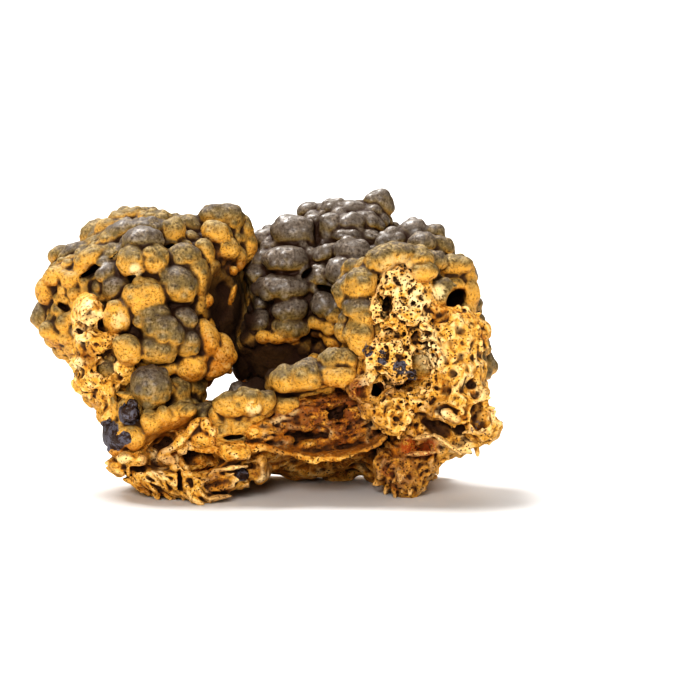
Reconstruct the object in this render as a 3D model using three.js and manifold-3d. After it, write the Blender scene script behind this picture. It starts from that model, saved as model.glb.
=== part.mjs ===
// A hand-sized piece of mottramite: a grape-like crust of rounded lobes grown over a spongy ochre matrix.
// The piece is a broken bowl. A tall left mass and a dark rear mass stand behind a low rim, a broken spongy
// face closes the right side, and daylight shows through a gap between the left mass and the rim.
//
// Every form is an ellipsoid placed as it is seen from the front, in millimetres:
//   across  to the right of the middle of the piece
//   up      above the lowest point that is seen
//   away    behind the plane through the middle of the piece
// fromView() turns those into the part's own axes: +X right, +Y away, +Z up, with its foot on Z = 0.
import * as THREE from "three";
import { mergeVertices } from "three/addons/utils/BufferGeometryUtils.js";
import Module from "manifold-3d";

const wasm = await Module();
wasm.setup();

// Driving dimensions, in millimetres and degrees
const EYE_DISTANCE = 480;
const EYE_ELEVATION = THREE.MathUtils.degToRad(6);
const EYE_ACROSS = 10.8;
const EYE_UP = 21.2;
const EYE_LINE_HEIGHT = 19.26; // height above the surface of the point that the eye looks at
const BOX_CENTRE_X = -0.6; // moves the middle of the piece's box to the origin
const BOX_CENTRE_Y = 5.5;
const LOBE_INSET = 0.12; // share of a lobe's radius that is sunk behind the face it grows on
const LOBE_SWELL = 1.14; // how far neighbouring lobes grow into each other
const CRAG = 0.14; // height of a broken form's crags, as a share of its radius

// Forms under the crust: across, up, away, half width, half height, half depth, turn in degrees
const LEFT_MASS = [
  [-16, 30, 5, 11, 8.3, 10, 0],
  [-24.8, 29.2, 6, 5.6, 5.6, 8, 35],
  [-17.8, 36, 8, 6.6, 3, 6, 10],
  [-7, 34.8, 7.5, 3.3, 4.8, 6.5, 0],
  [-16.5, 22.8, 2, 7, 6.4, 8.5, 0],
  [-9.3, 20.9, 2, 3.5, 3.3, 6.5, 0],
  [-26, 24.4, 4.5, 4.6, 4.2, 7, -40],
  [-8, 28.6, 9, 4.6, 8.6, 7, 0],
];
const LEFT_FLANK = [
  [-21.5, 19, 2.5, 4.4, 6, 7, 0],
  [-15, 14.5, 3.5, 5.4, 5.5, 8, 0],
];
const REAR_MASS = [
  [4.6, 30, 12, 8, 8.2, 8, 0],
  [9.4, 36, 14, 6, 4.4, 7, 0],
  [13.4, 38.4, 13.5, 2.6, 2.4, 4, 0],
  [0.6, 22, 11, 5.7, 6.2, 6.5, 0],
  [12.5, 27, 9.5, 6.6, 9.8, 8.5, 0],
  [16.8, 33, 11.5, 3.8, 4.2, 6, 0],
  [7, 15, 10.5, 9, 7, 8, 0],
];
const RIGHT_SHOULDER = [
  [20.8, 31.4, 7.5, 4.6, 5, 7, 0],
  [24.4, 28.6, 4.5, 3.2, 5, 6.5, 20],
  [25, 21.5, 3.5, 4, 6, 7.5, 0],
  [19.5, 24, 3.5, 7.5, 9, 8, 0],
];
const RIM = [
  [-3.2, 13.4, -6.2, 3.8, 1.7, 3.4, 4],
  [4.2, 16.9, -4.8, 3.8, 1.8, 3.6, 3],
  [9.2, 18.4, -5, 2.6, 2, 3.4, 0],
];
const NECK = [
  [-16.2, 15.6, -2.4, 3, 2.8, 5, 0],
  [-12.4, 12.6, -1.4, 3.4, 2.6, 4.6, 0],
  [-10.8, 16.2, 1, 1.8, 2.2, 4, 0],
  [-4.2, 10.4, -1.6, 7, 3.2, 6, 0],
  [6.5, 12.4, -0.6, 9.6, 4, 6.2, 0],
];
const UNDERSIDE = [
  [-14.2, 7.6, 0, 6.6, 4.8, 8, 0],
  [-3.6, 8.6, 1.5, 7.2, 4.2, 7.5, 0],
  [7, 10.4, 2, 9.4, 4.4, 8.5, 0],
  [21, 13, 2.5, 7, 6.4, 8, 0],
  [18.6, 7, 1.5, 3.8, 5.2, 6.8, 0],
  [-9.6, 8.4, 9.4, 8, 6, 7, 0],
  [4.4, 9.8, 9.6, 11, 6, 7.6, 0],
  [17, 9.6, 9.4, 6.4, 7, 7, 0],
  [-12, 5, 11.4, 4.6, 5, 4.4, 0],
  [17.4, 5.4, 11.4, 4.6, 5.4, 4.4, 0],
];

// Broken, craggy forms: the same columns
const SPONGY_FACE = [
  [18.2, 27.6, -3.6, 5, 7, 6.4, 22],
  [16.2, 20, -5.6, 4.6, 3.8, 5.4, 0],
  [24.2, 23.2, -3.4, 5.4, 4.2, 6, -12],
  [25, 18.4, -3, 4.2, 3.8, 5.6, 0],
  [28.2, 23.6, -1, 2, 1.7, 4.6, 0],
  [14.3, 26.6, -7, 1.3, 2.6, 4, 12],
  [12.5, 16.2, -7, 2.5, 2, 3.4, 25],
  [16.8, 13, -6.4, 3.1, 3.6, 4.8, 0],
  [13.4, 13.6, -5, 2.2, 2, 3.8, -30],
  [25.2, 14.2, -3.8, 3.1, 3.8, 5.2, 0],
  [28, 15.6, -3, 1.7, 2.8, 4.4, 25],
  [28.6, 11, -3.2, 3, 2.7, 4.6, 0],
  [21.4, 13.8, -3.8, 3, 2.8, 4.8, 0],
  [22, 9.6, -1.6, 5, 2.8, 5.4, -16],
];
const RIGHT_FOOT = [
  [18.4, 5, -2.6, 2.8, 4.2, 4.8, 0],
  [21, 6.2, -2.4, 2.1, 2.2, 3.8, 25],
  [23, 6.8, -3, 1, 1.4, 2.4, 0],
  [15.3, 5.6, -1.8, 1.5, 3, 3.8, -24],
];
const BROKEN_LEFT_EDGE = [
  [-24.6, 26.2, -2.6, 2.2, 2.9, 5.4, 0],
  [-23.2, 22.4, -3, 3.8, 2.4, 5.4, 10],
  [-24.6, 19.6, -2.6, 2.6, 2.1, 4.6, 0],
  [-24, 17, -2.8, 2.6, 2, 4.6, 0],
  [-22, 15.2, -3, 2, 2.4, 4.2, 0],
  [-21.6, 12.6, -3.4, 2.2, 2.2, 4.4, 15],
  [-19.6, 19.2, -2.2, 2.6, 3.6, 5.2, 0],
];
const LOWER_LEFT = [
  [-16.6, 11, -4.4, 5, 2.8, 5.4, 14],
  [-20.6, 9.4, -4.6, 2.5, 2.6, 4.6, 0],
  [-18, 6.4, -4.2, 3, 2, 5, 0],
  [-20.4, 5.5, -4.2, 1.3, 1.1, 3.4, 0],
  [-15.2, 4.4, -4.8, 3.4, 2.2, 5, -32],
  [-12.2, 3.4, -5.6, 2.4, 2, 5, -10],
  [-10.1, 2, -7.6, 1.6, 2.1, 4, 32],
  [-6.8, 3.5, -5.6, 3.8, 2, 5, 10],
  [-4.8, 7.2, -5, 3, 2, 5, 0],
  [-1.3, 5.6, -3.2, 1.5, 2.6, 4.4, 0],
  [-17.4, 3.4, -3.6, 1.5, 1.1, 3.4, 0],
];

// Lobes of the crust: across, up, half width, half height, turn, and lift out of the face behind.
// A lobe sits on the form behind it, so its depth isn't written here.
const LEFT_LOBES = [
  [-28.2, 33.8, 1.3, 1.4, 0, 0],
  [-26.2, 34.5, 1.8, 1, 20, 0],
  [-24.2, 33.7, 2, 1.2, 25, 1],
  [-28.6, 31.2, 1.7, 1.2, 20, 0],
  [-29.9, 29.2, 1.6, 1.7, 0, 0],
  [-30.4, 25.8, 1.5, 1.7, 0, 0],
  [-29.4, 23.6, 1.6, 1.1, -35, 0],
  [-22.1, 37.4, 1.3, 1.3, 0, 0],
  [-20.4, 38.5, 1.4, 1.3, 0, 0],
  [-18.2, 39.1, 1.7, 1.2, 0, 0],
  [-15.2, 38.9, 1.7, 1.1, 0, 0],
  [-19.9, 37.2, 1.9, 1.3, 25, 0.8],
  [-16.6, 37.6, 2.4, 1.2, 5, 1],
  [-17.2, 35.8, 2.3, 1.8, 0, 1.6],
  [-13.3, 37, 1.4, 1.9, -30, 0.6],
  [-10.9, 37.6, 1.8, 1.6, 0, 0],
  [-7.6, 39.1, 1.8, 1.5, 0, 0],
  [-5.7, 38.9, 1.8, 1.8, 0, 0],
  [-7.4, 37, 1.6, 1.4, -30, 1],
  [-3.7, 37.2, 1.2, 1.9, 0, 0],
  [-3.4, 35, 1.3, 1.7, 0, 0],
  [-5.8, 34.8, 1.3, 1.2, 0, 0.4],
  [-18.5, 33.1, 1.8, 1.9, 0, 1.4],
  [-15.6, 33.1, 1.6, 2, 0, 1],
  [-11.8, 33.8, 1.9, 1.6, 0, 0.6],
  [-9, 34.2, 1.3, 1.7, 0, 0.2],
  [-10.1, 31.2, 1.7, 2.4, 12, 0],
  [-12.6, 30, 2.4, 2, -25, 1],
  [-16.9, 28.4, 2.7, 2.2, 20, 1.2],
  [-21, 29.6, 1.4, 1.5, 0, 0],
  [-21.9, 31.6, 1.4, 1.3, 0, 0],
  [-12.6, 27.1, 1.4, 1, 0, 0],
  [-16, 25.9, 2.2, 1.8, 0, 1],
  [-14.6, 23.9, 2.7, 1.9, -30, 1],
  [-11.9, 25.1, 1.7, 1.7, 0, 1.4],
  [-15.3, 21.5, 2.4, 1.8, 0, 0.6],
  [-11.6, 22.3, 1.9, 1.7, -20, 1.4],
  [-8.5, 22.8, 1.5, 2.2, 20, 0.6],
  [-6.7, 21, 1.6, 2, 0, 0.2],
  [-7.5, 19.1, 1.9, 1.6, 0, 0],
  [-10.8, 19.2, 1.8, 1.9, 0, 1],
  [-14, 19, 1.9, 1, 0, 0],
  [-20.4, 25.7, 1.8, 2, -20, 2],
  [-19.2, 21.3, 1.6, 1.8, 25, 2.2],
  [-26.7, 29, 1.3, 1.3, 0, 3],
];
const NECK_LOBES = [
  [-16.1, 16.2, 2.3, 2.4, 0, 0.4],
  [-12.4, 15.2, 1.3, 1.9, 0, 2.6],
  [-11.8, 13, 1.5, 1, 0, 2],
];
const RIM_LOBES = [
  [-8.4, 12.4, 1.6, 1.5, 0, 0],
  [-4.2, 15.8, 1.3, 1, 0, 0],
  [-1.7, 16.2, 1.3, 1, 0, 0],
  [-3.6, 14, 3.6, 1.6, 5, 0.2],
  [0.2, 15.2, 1.3, 0.9, 0, 0],
  [2, 14, 1.6, 1.2, 0, 0],
  [3.9, 17.4, 3.6, 1.9, 3, 0],
  [5.5, 18.9, 1.5, 1, 0, 0],
  [8.4, 19.6, 1.5, 1.6, 0, 0],
  [10.1, 19.8, 1.5, 1.5, 0, 0],
  [9.2, 17.6, 1.9, 1.2, 0, 0.4],
];
const REAR_LOBES = [
  [-0.7, 36, 1.3, 1.3, 0, 0],
  [3.3, 37, 2.5, 2, 0, 0],
  [2.4, 38.4, 1.4, 0.9, 20, 0],
  [5.4, 39.8, 1.5, 1.2, 0, 0],
  [8.4, 40.1, 1.6, 1.3, 0, 0],
  [11, 39.9, 1.9, 1.3, 0, 0],
  [8.2, 38.1, 1.3, 1.4, 0, 0.2],
  [10.9, 38.2, 1.6, 1.3, 0, 0.2],
  [13.2, 38.4, 1.9, 1.2, -20, 0],
  [14.6, 40.7, 1.75, 1.75, 0, 0.4],
  [10.4, 36.6, 1.8, 0.9, 0, 0.4],
  [13.3, 36.5, 1.2, 0.9, 0, 0.2],
  [7.7, 34.3, 1.9, 1, 22, 0.8],
  [11.3, 34.3, 2.2, 1.6, -15, 1.2],
  [9.9, 31.8, 2, 1.7, 0, 1.2],
  [6.9, 31.3, 1.2, 1.3, 0, 0.4],
  [2.2, 33.4, 2.5, 1.6, 0, 0.2],
  [-1.1, 33.4, 1.2, 1.1, 0, 0],
  [-1.7, 31.4, 1.5, 1.3, 0, 0],
  [1.6, 29.6, 3.2, 1.5, 0, 0.4],
  [-1.3, 27.5, 1.5, 1.2, 0, 0.2],
  [2.7, 26.7, 2, 1.6, 0, 0.8],
  [-1.6, 25, 1.5, 1.4, 0, 0.6],
  [2.6, 24.4, 2.2, 1.5, 0, 0.6],
  [-4, 25.2, 1.2, 1.6, 0, 0],
  [-2.5, 22.7, 1.3, 1, 0, 0],
  [7.3, 27.4, 1.5, 1.5, 0, 1],
  [6.9, 25, 1.6, 1, 0, 0.6],
  [-3.9, 19.2, 1, 1.8, 0, 0],
  [16.6, 35.8, 2, 1.4, 0, 0.6],
  [18.1, 36.3, 1.4, 1.4, 0, 0],
];
const SHOULDER_LOBES = [
  [19.4, 37, 1.7, 1.6, 0, 0],
  [22.2, 36.9, 1.2, 1.1, 0, 0],
  [20.6, 35.5, 1.6, 1.4, 0, 0.6],
  [23, 35.3, 1.7, 1.1, -15, 0.4],
  [24.4, 32.5, 2.3, 1.3, 8, 0.6],
  [26.2, 31.2, 1.3, 1.7, 15, 0],
  [27, 28.8, 1.1, 1.8, 0, 0],
];
const FACE_LOBES = [
  [10.2, 28.9, 1.5, 1.7, 0, 0],
  [12.3, 29.6, 1.9, 1.7, 45, 0.6],
  [13.4, 31.6, 1.6, 1.8, 0, 0],
  [15.9, 33.4, 2.2, 1.8, 20, 0.2],
  [17.5, 33.5, 1.7, 1.5, 0, 0],
  [20.3, 32.6, 1.8, 1.5, 0, 0],
  [11.4, 26.9, 1.5, 1.3, 0, 0],
  [11.1, 24, 1.8, 2.3, 0, 0],
  [23, 28.9, 1.7, 1.6, 0, 0.4],
];

// Hollows, caves and the gap that daylight shows through: the same columns as the forms under the crust
const HOLLOWS = [
  [-6.6, 16.5, 5, 1.1, 2.1, 40, -40],
  [7.4, 4, -5, 7, 3.7, 12.5, 0],
  [15.9, 27.2, -8.5, 1, 2.2, 4, -12],
  [17.3, 23.2, -10.5, 1.2, 1, 3.6, 0],
  [25.3, 28.6, -1.5, 1.6, 2.4, 5, 10],
  [-24.6, 31.5, -3.2, 2.1, 1, 5, 15],
  [-28, 27, -3, 1.5, 1.2, 4.6, -30],
  [-14.2, 8.2, -9, 3.1, 1.1, 4.5, 25],
  [-9.4, 6.2, -8.5, 3, 0.9, 4.5, 0],
  [4.3, 9.6, -6.6, 3.2, 0.9, 3, 0],
  [9.4, 12.8, -6.6, 1.7, 0.8, 2.6, 8],
  [22.8, 10.5, -8.6, 3.4, 1.2, 4.4, -28],
  [27.1, 16.5, -9, 0.9, 0.9, 3.4, 0],
  [16.2, 16.3, -11, 2.4, 0.7, 3.2, -8],
  [-18.8, 13.5, -9.6, 1.7, 1.7, 2.2, 0],
  [22.2, 20.7, -10.6, 2.2, 1.7, 2.6, 0],
  [-5.6, 27.2, -4.4, 2.9, 6.3, 8.6, 4],
];

// Pits of the spongy face, spread evenly over a patch of it
const PIT_COUNT = 42;
const PIT_PATCH = { across: [12, 31], up: [9, 34] };
const PIT_RADIUS = [0.6, 1];

// The thin shell that hangs as a ledge below the broken wall: points along its edge, across, up and away
const LEDGE_EDGE = [
  [-13, 8.2, -6],
  [-8, 7.5, -7.4],
  [-2, 8, -7.6],
  [2.5, 7.1, -7.8],
  [6, 6.2, -8],
  [10.5, 6.6, -7.8],
  [14, 8, -7.2],
  [16, 9.6, -6.4],
];
const LEDGE_THICKNESS = 0.9;
const LEDGE_DEPTH = 9;
const LEDGE_STEPS = 18;

// The part of the crust that the front view hides is covered by a rule: lobes on a spiral over each form
const HIDDEN_LOBES_PER_MASS = 34;
const HIDDEN_LOBE_RADIUS = [1.7, 2.9];
const GOLDEN_ANGLE = Math.PI * (3 - Math.sqrt(5));

// Fineness of the spheres that the forms are made from, and of the finished surface
const FORM_DETAIL = 3;
const BROKEN_DETAIL = 2;
const LOBE_DETAIL = 2;
const PIT_DETAIL = 1;
const FACE_COUNT = 9400;
const SHORT_EDGE_WEIGHT = 0.004; // how much sooner a short edge is drawn together than a long one
const ROUND_SHARE = 12; // one edge in this many is drawn together in a round
const FOLD_LIMIT = 0.35; // cosine of the most that a face may turn

// A repeatable number from 0 to 1 for a whole number
function chance(n) {
  const s = Math.sin(n * 12.9898 + 4.1414) * 43758.5453;
  return s - Math.floor(s);
}

// Height of the crags at a point, from -1 to 1
function crag(p) {
  const coarse = Math.sin(p.x * 1.9 + 1.3 * Math.sin(p.y * 1.7)) * Math.cos(p.z * 1.6 + p.y * 1.1);
  const fine = Math.sin(p.x * 4.7 + p.z * 3.9) * Math.cos(p.y * 4.3 - p.z * 2.1);
  return 0.65 * coarse + 0.35 * fine;
}

// A closed triangle mesh as a solid
function solidOf(geometry) {
  geometry.deleteAttribute("normal");
  geometry.deleteAttribute("uv");
  const merged = mergeVertices(geometry, 1e-4);
  return new wasm.Manifold(
    new wasm.Mesh({
      numProp: 3,
      vertProperties: new Float32Array(merged.attributes.position.array),
      triVerts: new Uint32Array(merged.index.array),
    })
  );
}

// An ellipsoid in the front view's axes. Crags roughen it; spin turns its facets so that no two match.
function ellipsoid([across, up, away, halfWidth, halfHeight, halfDepth, turn], detail, spin, crags = 0) {
  const geometry = new THREE.IcosahedronGeometry(1, detail);
  geometry.rotateX(spin * 1.7);
  geometry.rotateY(spin * 2.3);
  geometry.scale(halfWidth, halfHeight, halfDepth);
  geometry.rotateZ(THREE.MathUtils.degToRad(turn));
  geometry.translate(across, up, away);
  if (crags > 0) {
    const middle = new THREE.Vector3(across, up, away);
    const place = geometry.attributes.position;
    const point = new THREE.Vector3();
    for (let i = 0; i < place.count; i++) {
      point.fromBufferAttribute(place, i);
      const grown = 1 + crags * crag(point);
      point.sub(middle).multiplyScalar(grown).add(middle);
      place.setXYZ(i, point.x, point.y, point.z);
    }
  }
  return solidOf(geometry);
}

// How far away the front of a group of forms is at a point of the front view, or null beside them
function frontOf(forms, across, up) {
  let nearest = null;
  for (const [cx, cy, cz, a, b, c, turn] of forms) {
    const t = THREE.MathUtils.degToRad(turn);
    const dx = across - cx;
    const dy = up - cy;
    const p = (dx * Math.cos(t) + dy * Math.sin(t)) / a;
    const q = (dy * Math.cos(t) - dx * Math.sin(t)) / b;
    const inside = 1 - p * p - q * q;
    if (inside > 0) {
      const front = cz - c * Math.sqrt(inside);
      if (nearest === null || front < nearest) nearest = front;
    }
  }
  return nearest;
}

// Depth of the middle of the form that is nearest to a point of the front view
function middleOf(forms, across, up) {
  const gap = ([cx, cy, , a, b]) => Math.hypot((across - cx) / a, (up - cy) / b);
  return [...forms].sort((one, two) => gap(one) - gap(two))[0][2];
}

// The lobes of one list, each on the front of the forms that carry it
function lobesOn(forms, rows) {
  return rows.map(([across, up, halfWidth, halfHeight, turn, lift], i) => {
    const radius = Math.sqrt(halfWidth * halfHeight);
    const front = frontOf(forms, across, up) ?? middleOf(forms, across, up);
    const away = front + LOBE_INSET * radius - lift;
    const sizes = [halfWidth, halfHeight, radius].map((half) => half * LOBE_SWELL);
    return ellipsoid([across, up, away, ...sizes, turn], LOBE_DETAIL, i + across);
  });
}

// Lobes over the side of a mass that the front view doesn't show: a spiral of points over each form,
// kept where they face away, stay within the outline and aren't buried in another form
function hiddenLobesOn(forms, others) {
  const lobes = [];
  forms.forEach(([cx, cy, cz, a, b, c, turn], form) => {
    const t = THREE.MathUtils.degToRad(turn);
    for (let i = 0; i < HIDDEN_LOBES_PER_MASS; i++) {
      const facing = 1 - (i + 0.5) / HIDDEN_LOBES_PER_MASS; // 1 straight away from the front, 0 sideways
      const ring = Math.sqrt(1 - facing * facing);
      const angle = i * GOLDEN_ANGLE + form;
      const p = ring * Math.cos(angle);
      const q = ring * Math.sin(angle);
      const radius = THREE.MathUtils.lerp(...HIDDEN_LOBE_RADIUS, chance(i * 7 + form * 13 + cx));
      const across = cx + a * p * Math.cos(t) - b * q * Math.sin(t);
      const up = cy + a * p * Math.sin(t) + b * q * Math.cos(t);
      const away = cz + c * facing;
      const buried = [...forms, ...others].some(
        ([ox, oy, oz, oa, ob, oc], other) =>
          forms[other] !== forms[form] &&
          Math.hypot((across - ox) / oa, (up - oy) / ob, (away - oz) / oc) < 0.86
      );
      const spacing = lobes.every(
        (l) => Math.hypot(l[0] - across, l[1] - up, l[2] - away) > 0.62 * (l[3] + radius)
      );
      if (ring < 0.9 && !buried && spacing) lobes.push([across, up, away, radius, radius, radius, 0]);
    }
  });
  return lobes.map((lobe, i) => ellipsoid(lobe, LOBE_DETAIL, i + 0.5));
}

// Pits in the front of the spongy face, at the steps of two irrational ratios so that they keep apart
function pits() {
  const { across, up } = PIT_PATCH;
  const spots = Array.from({ length: PIT_COUNT }, (_, i) => [
    THREE.MathUtils.lerp(...across, (i * 0.7548777) % 1),
    THREE.MathUtils.lerp(...up, (i * 0.5698403) % 1),
  ]);
  return spots
    .map(([x, y], i) => {
      const radius = THREE.MathUtils.lerp(...PIT_RADIUS, chance(i + 0.5));
      const front = frontOf(SPONGY_FACE, x, y);
      return front === null ? null : [x, y, front, radius, radius * 0.8, radius * 2.2, 180 * chance(i)];
    })
    .filter((pit) => pit !== null);
}

// The ledge: a thin wavy slab whose front edge runs through the points above
function ledge() {
  const curve = new THREE.CatmullRomCurve3(LEDGE_EDGE.map((p) => new THREE.Vector3(...p)));
  const corners = [];
  for (let i = 0; i <= LEDGE_STEPS; i++) {
    const front = curve.getPoint(i / LEDGE_STEPS);
    const half = (LEDGE_THICKNESS / 2) * (0.8 + 0.4 * chance(i));
    corners.push(
      new THREE.Vector3(front.x, front.y - half, front.z),
      new THREE.Vector3(front.x, front.y + half, front.z),
      new THREE.Vector3(front.x, front.y + half + 2.6, front.z + LEDGE_DEPTH),
      new THREE.Vector3(front.x, front.y - half + 2.6, front.z + LEDGE_DEPTH)
    );
  }
  const faces = [0, 1, 2, 0, 2, 3];
  for (let i = 0; i < LEDGE_STEPS; i++) {
    for (let side = 0; side < 4; side++) {
      const a = i * 4 + side;
      const b = i * 4 + ((side + 1) % 4);
      faces.push(a, a + 4, b, b, a + 4, b + 4);
    }
  }
  const last = LEDGE_STEPS * 4;
  faces.push(last, last + 2, last + 1, last, last + 3, last + 2);
  const geometry = new THREE.BufferGeometry().setFromPoints(corners);
  geometry.setIndex(faces);
  return solidOf(geometry);
}

// From the front view's axes to the part's own. The front view's are left-handed, so faces are turned over.
function fromView(geometry) {
  const corners = geometry.index.array;
  for (let i = 0; i < corners.length; i += 3) {
    [corners[i], corners[i + 1]] = [corners[i + 1], corners[i]];
  }
  const place = geometry.attributes.position;
  for (let i = 0; i < place.count; i++) {
    const spread = 1 + place.getZ(i) / EYE_DISTANCE;
    const across = (place.getX(i) - EYE_ACROSS) * spread;
    const up = (place.getY(i) - EYE_UP) * spread;
    const away = place.getZ(i);
    place.setXYZ(
      i,
      EYE_ACROSS + across - BOX_CENTRE_X,
      up * Math.sin(EYE_ELEVATION) + away * Math.cos(EYE_ELEVATION) - BOX_CENTRE_Y,
      EYE_LINE_HEIGHT + up * Math.cos(EYE_ELEVATION) - away * Math.sin(EYE_ELEVATION)
    );
  }
  return geometry;
}

function geometryOf(solid) {
  const mesh = solid.getMesh();
  const geometry = new THREE.BufferGeometry();
  geometry.setAttribute("position", new THREE.BufferAttribute(new Float32Array(mesh.vertProperties), 3));
  geometry.setIndex(new THREE.BufferAttribute(new Uint32Array(mesh.triVerts), 1));
  return geometry;
}

const together = (solids) => wasm.Manifold.union(solids);

// Planes met at a vertex, as the ten numbers of a symmetric matrix, and how far a point is from them all
function planesAt(points, faces) {
  const sums = points.map(() => new Float64Array(10));
  const triangle = new THREE.Triangle();
  const normal = new THREE.Vector3();
  for (const [a, b, c] of faces) {
    triangle.set(points[a], points[b], points[c]);
    const { x, y, z } = triangle.getNormal(normal);
    const w = -normal.dot(points[a]);
    const area = triangle.getArea();
    const plane = [x * x, x * y, x * z, x * w, y * y, y * z, y * w, z * z, z * w, w * w];
    for (const v of [a, b, c]) plane.forEach((value, i) => (sums[v][i] += value * area));
  }
  return sums;
}

function missBy(q, { x, y, z }) {
  const squares = q[0] * x * x + q[4] * y * y + q[7] * z * z + q[9];
  return squares + 2 * (q[1] * x * y + q[2] * x * z + q[3] * x + q[5] * y * z + q[6] * y + q[8] * z);
}

// The same closed surface with fewer faces: the edges that matter least are drawn together, round by round
function coarsened(geometry, faceCount) {
  const place = geometry.attributes.position;
  const pointAt = (i) => new THREE.Vector3().fromBufferAttribute(place, i);
  const points = Array.from({ length: place.count }, (_, i) => pointAt(i));
  const corners = geometry.index.array;
  let faces = Array.from({ length: corners.length / 3 }, (_, i) => [...corners.slice(3 * i, 3 * i + 3)]);
  const planes = planesAt(points, faces);
  const before = new THREE.Vector3();
  const after = new THREE.Vector3();
  const normalOf = (face, at, moved, to) => {
    const [a, b, c] = face.map((v) => (moved.includes(v) ? to : points[v]));
    return THREE.Triangle.getNormal(a, b, c, at);
  };

  while (faces.length > faceCount) {
    const around = points.map(() => []);
    faces.forEach((face) => face.forEach((v) => around[v].push(face)));
    const edges = [];
    for (const face of faces) {
      for (let side = 0; side < 3; side++) {
        const a = face[side];
        const b = face[(side + 1) % 3];
        if (a > b) continue;
        const sum = planes[a].map((value, i) => value + planes[b][i]);
        const middle = points[a].clone().lerp(points[b], 0.5);
        const places = [middle, points[a].clone(), points[b].clone()];
        const spots = places.map((to) => ({ to, miss: missBy(sum, to) }));
        const best = spots.reduce((one, two) => (two.miss < one.miss ? two : one));
        const cost = best.miss + SHORT_EDGE_WEIGHT * points[a].distanceToSquared(points[b]);
        edges.push({ a, b, sum, to: best.to, cost });
      }
    }
    edges.sort((one, two) => one.cost - two.cost);
    const touched = new Set();
    const gone = new Set();
    const perRound = Math.min(edges.length / ROUND_SHARE, (faces.length - faceCount) / 2);
    let drawn = 0;
    for (const { a, b, sum, to } of edges) {
      if (drawn >= perRound) break;
      const ring = [...around[a], ...around[b]];
      if (ring.some((face) => face.some((v) => touched.has(v)))) continue;
      const nextTo = (v) => new Set(around[v].flat());
      const shared = [...nextTo(a)].filter((v) => v !== a && v !== b && nextTo(b).has(v));
      if (shared.length !== 2) continue;
      const kept = ring.filter((face) => !(face.includes(a) && face.includes(b)));
      const folds = kept.some((face) => {
        normalOf(face, before, [], to);
        normalOf(face, after, [a, b], to);
        return before.dot(after) < FOLD_LIMIT;
      });
      if (folds) continue;
      ring.forEach((face) => face.forEach((v) => touched.add(v)));
      ring.filter((face) => face.includes(a) && face.includes(b)).forEach((face) => gone.add(face));
      kept.forEach((face) => face.includes(b) && (face[face.indexOf(b)] = a));
      points[a].copy(to);
      planes[a] = sum;
      drawn++;
    }
    if (drawn === 0) break;
    faces = faces.filter((face) => !gone.has(face));
  }

  const used = new Map();
  const kept = [];
  const index = faces.flat().map((v) => {
    if (!used.has(v)) {
      used.set(v, kept.length);
      kept.push(points[v]);
    }
    return used.get(v);
  });
  const coarse = new THREE.BufferGeometry().setFromPoints(kept);
  coarse.setIndex(index);
  return coarse;
}

// Everything in front-view axes, joined, then hollowed
function specimenInView() {
  const underCrust = [
    ...LEFT_MASS,
    ...LEFT_FLANK,
    ...REAR_MASS,
    ...RIGHT_SHOULDER,
    ...RIM,
    ...NECK,
    ...UNDERSIDE,
  ];
  const broken = [...SPONGY_FACE, ...RIGHT_FOOT, ...BROKEN_LEFT_EDGE, ...LOWER_LEFT];
  const solids = [
    ...underCrust.map((form, i) => ellipsoid(form, FORM_DETAIL, i)),
    ...broken.map((form, i) => ellipsoid(form, BROKEN_DETAIL, i, CRAG)),
    ...lobesOn([...LEFT_MASS, ...LEFT_FLANK], LEFT_LOBES),
    ...lobesOn(NECK, NECK_LOBES),
    ...lobesOn([...RIM, ...NECK], RIM_LOBES),
    ...lobesOn(REAR_MASS, REAR_LOBES),
    ...lobesOn(RIGHT_SHOULDER, SHOULDER_LOBES),
    ...lobesOn(SPONGY_FACE, FACE_LOBES),
    ...hiddenLobesOn([...LEFT_MASS, ...LEFT_FLANK], [...NECK, ...UNDERSIDE]),
    ...hiddenLobesOn([...REAR_MASS, ...RIGHT_SHOULDER], [...NECK, ...UNDERSIDE]),
    ...hiddenLobesOn(UNDERSIDE, [...LEFT_FLANK, ...REAR_MASS, ...RIGHT_SHOULDER]),
  ];
  const hollows = HOLLOWS.map((form, i) => ellipsoid(form, LOBE_DETAIL, i));
  const smallHollows = pits().map((form, i) => ellipsoid(form, PIT_DETAIL, i));
  return together(solids)
    .subtract(together([...hollows, ...smallHollows]))
    .add(ledge());
}

// The surface that the piece stands on wears its lowest points flat
function standing(geometry) {
  const ground = new THREE.BoxGeometry(200, 200, 50);
  ground.translate(0, 0, -25);
  const bodies = solidOf(geometry).subtract(solidOf(ground)).decompose();
  return bodies.sort((one, two) => two.volume() - one.volume())[0];
}

const geometry = geometryOf(standing(coarsened(fromView(geometryOf(specimenInView())), FACE_COUNT)));
const ochreCrust = new THREE.MeshStandardMaterial({ color: 0x8a7442, roughness: 0.7, metalness: 0 });
const specimen = new THREE.Mesh(geometry, ochreCrust);
specimen.name = "mottramite_specimen";

const group = new THREE.Group();
group.add(specimen);

export default group;
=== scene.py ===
"""A hand-sized piece of mottramite on a pale table: a grape-like crust over a spongy ochre matrix.

Every form is an ellipsoid placed as it is seen from the front, in millimetres: across to the right of the
middle of the piece, up above the lowest point that is seen, and away behind the plane through its middle.
A piece is first clay on a fine lattice, which forms are added to and hollows are taken from, and its skin
is then meshed. Numbers on the skin say where it is grey, olive or ochre, broken, rusty or in a nook; from the
nooks, the undersides and the walls in shade the materials paint shade.
"""

import math

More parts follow.
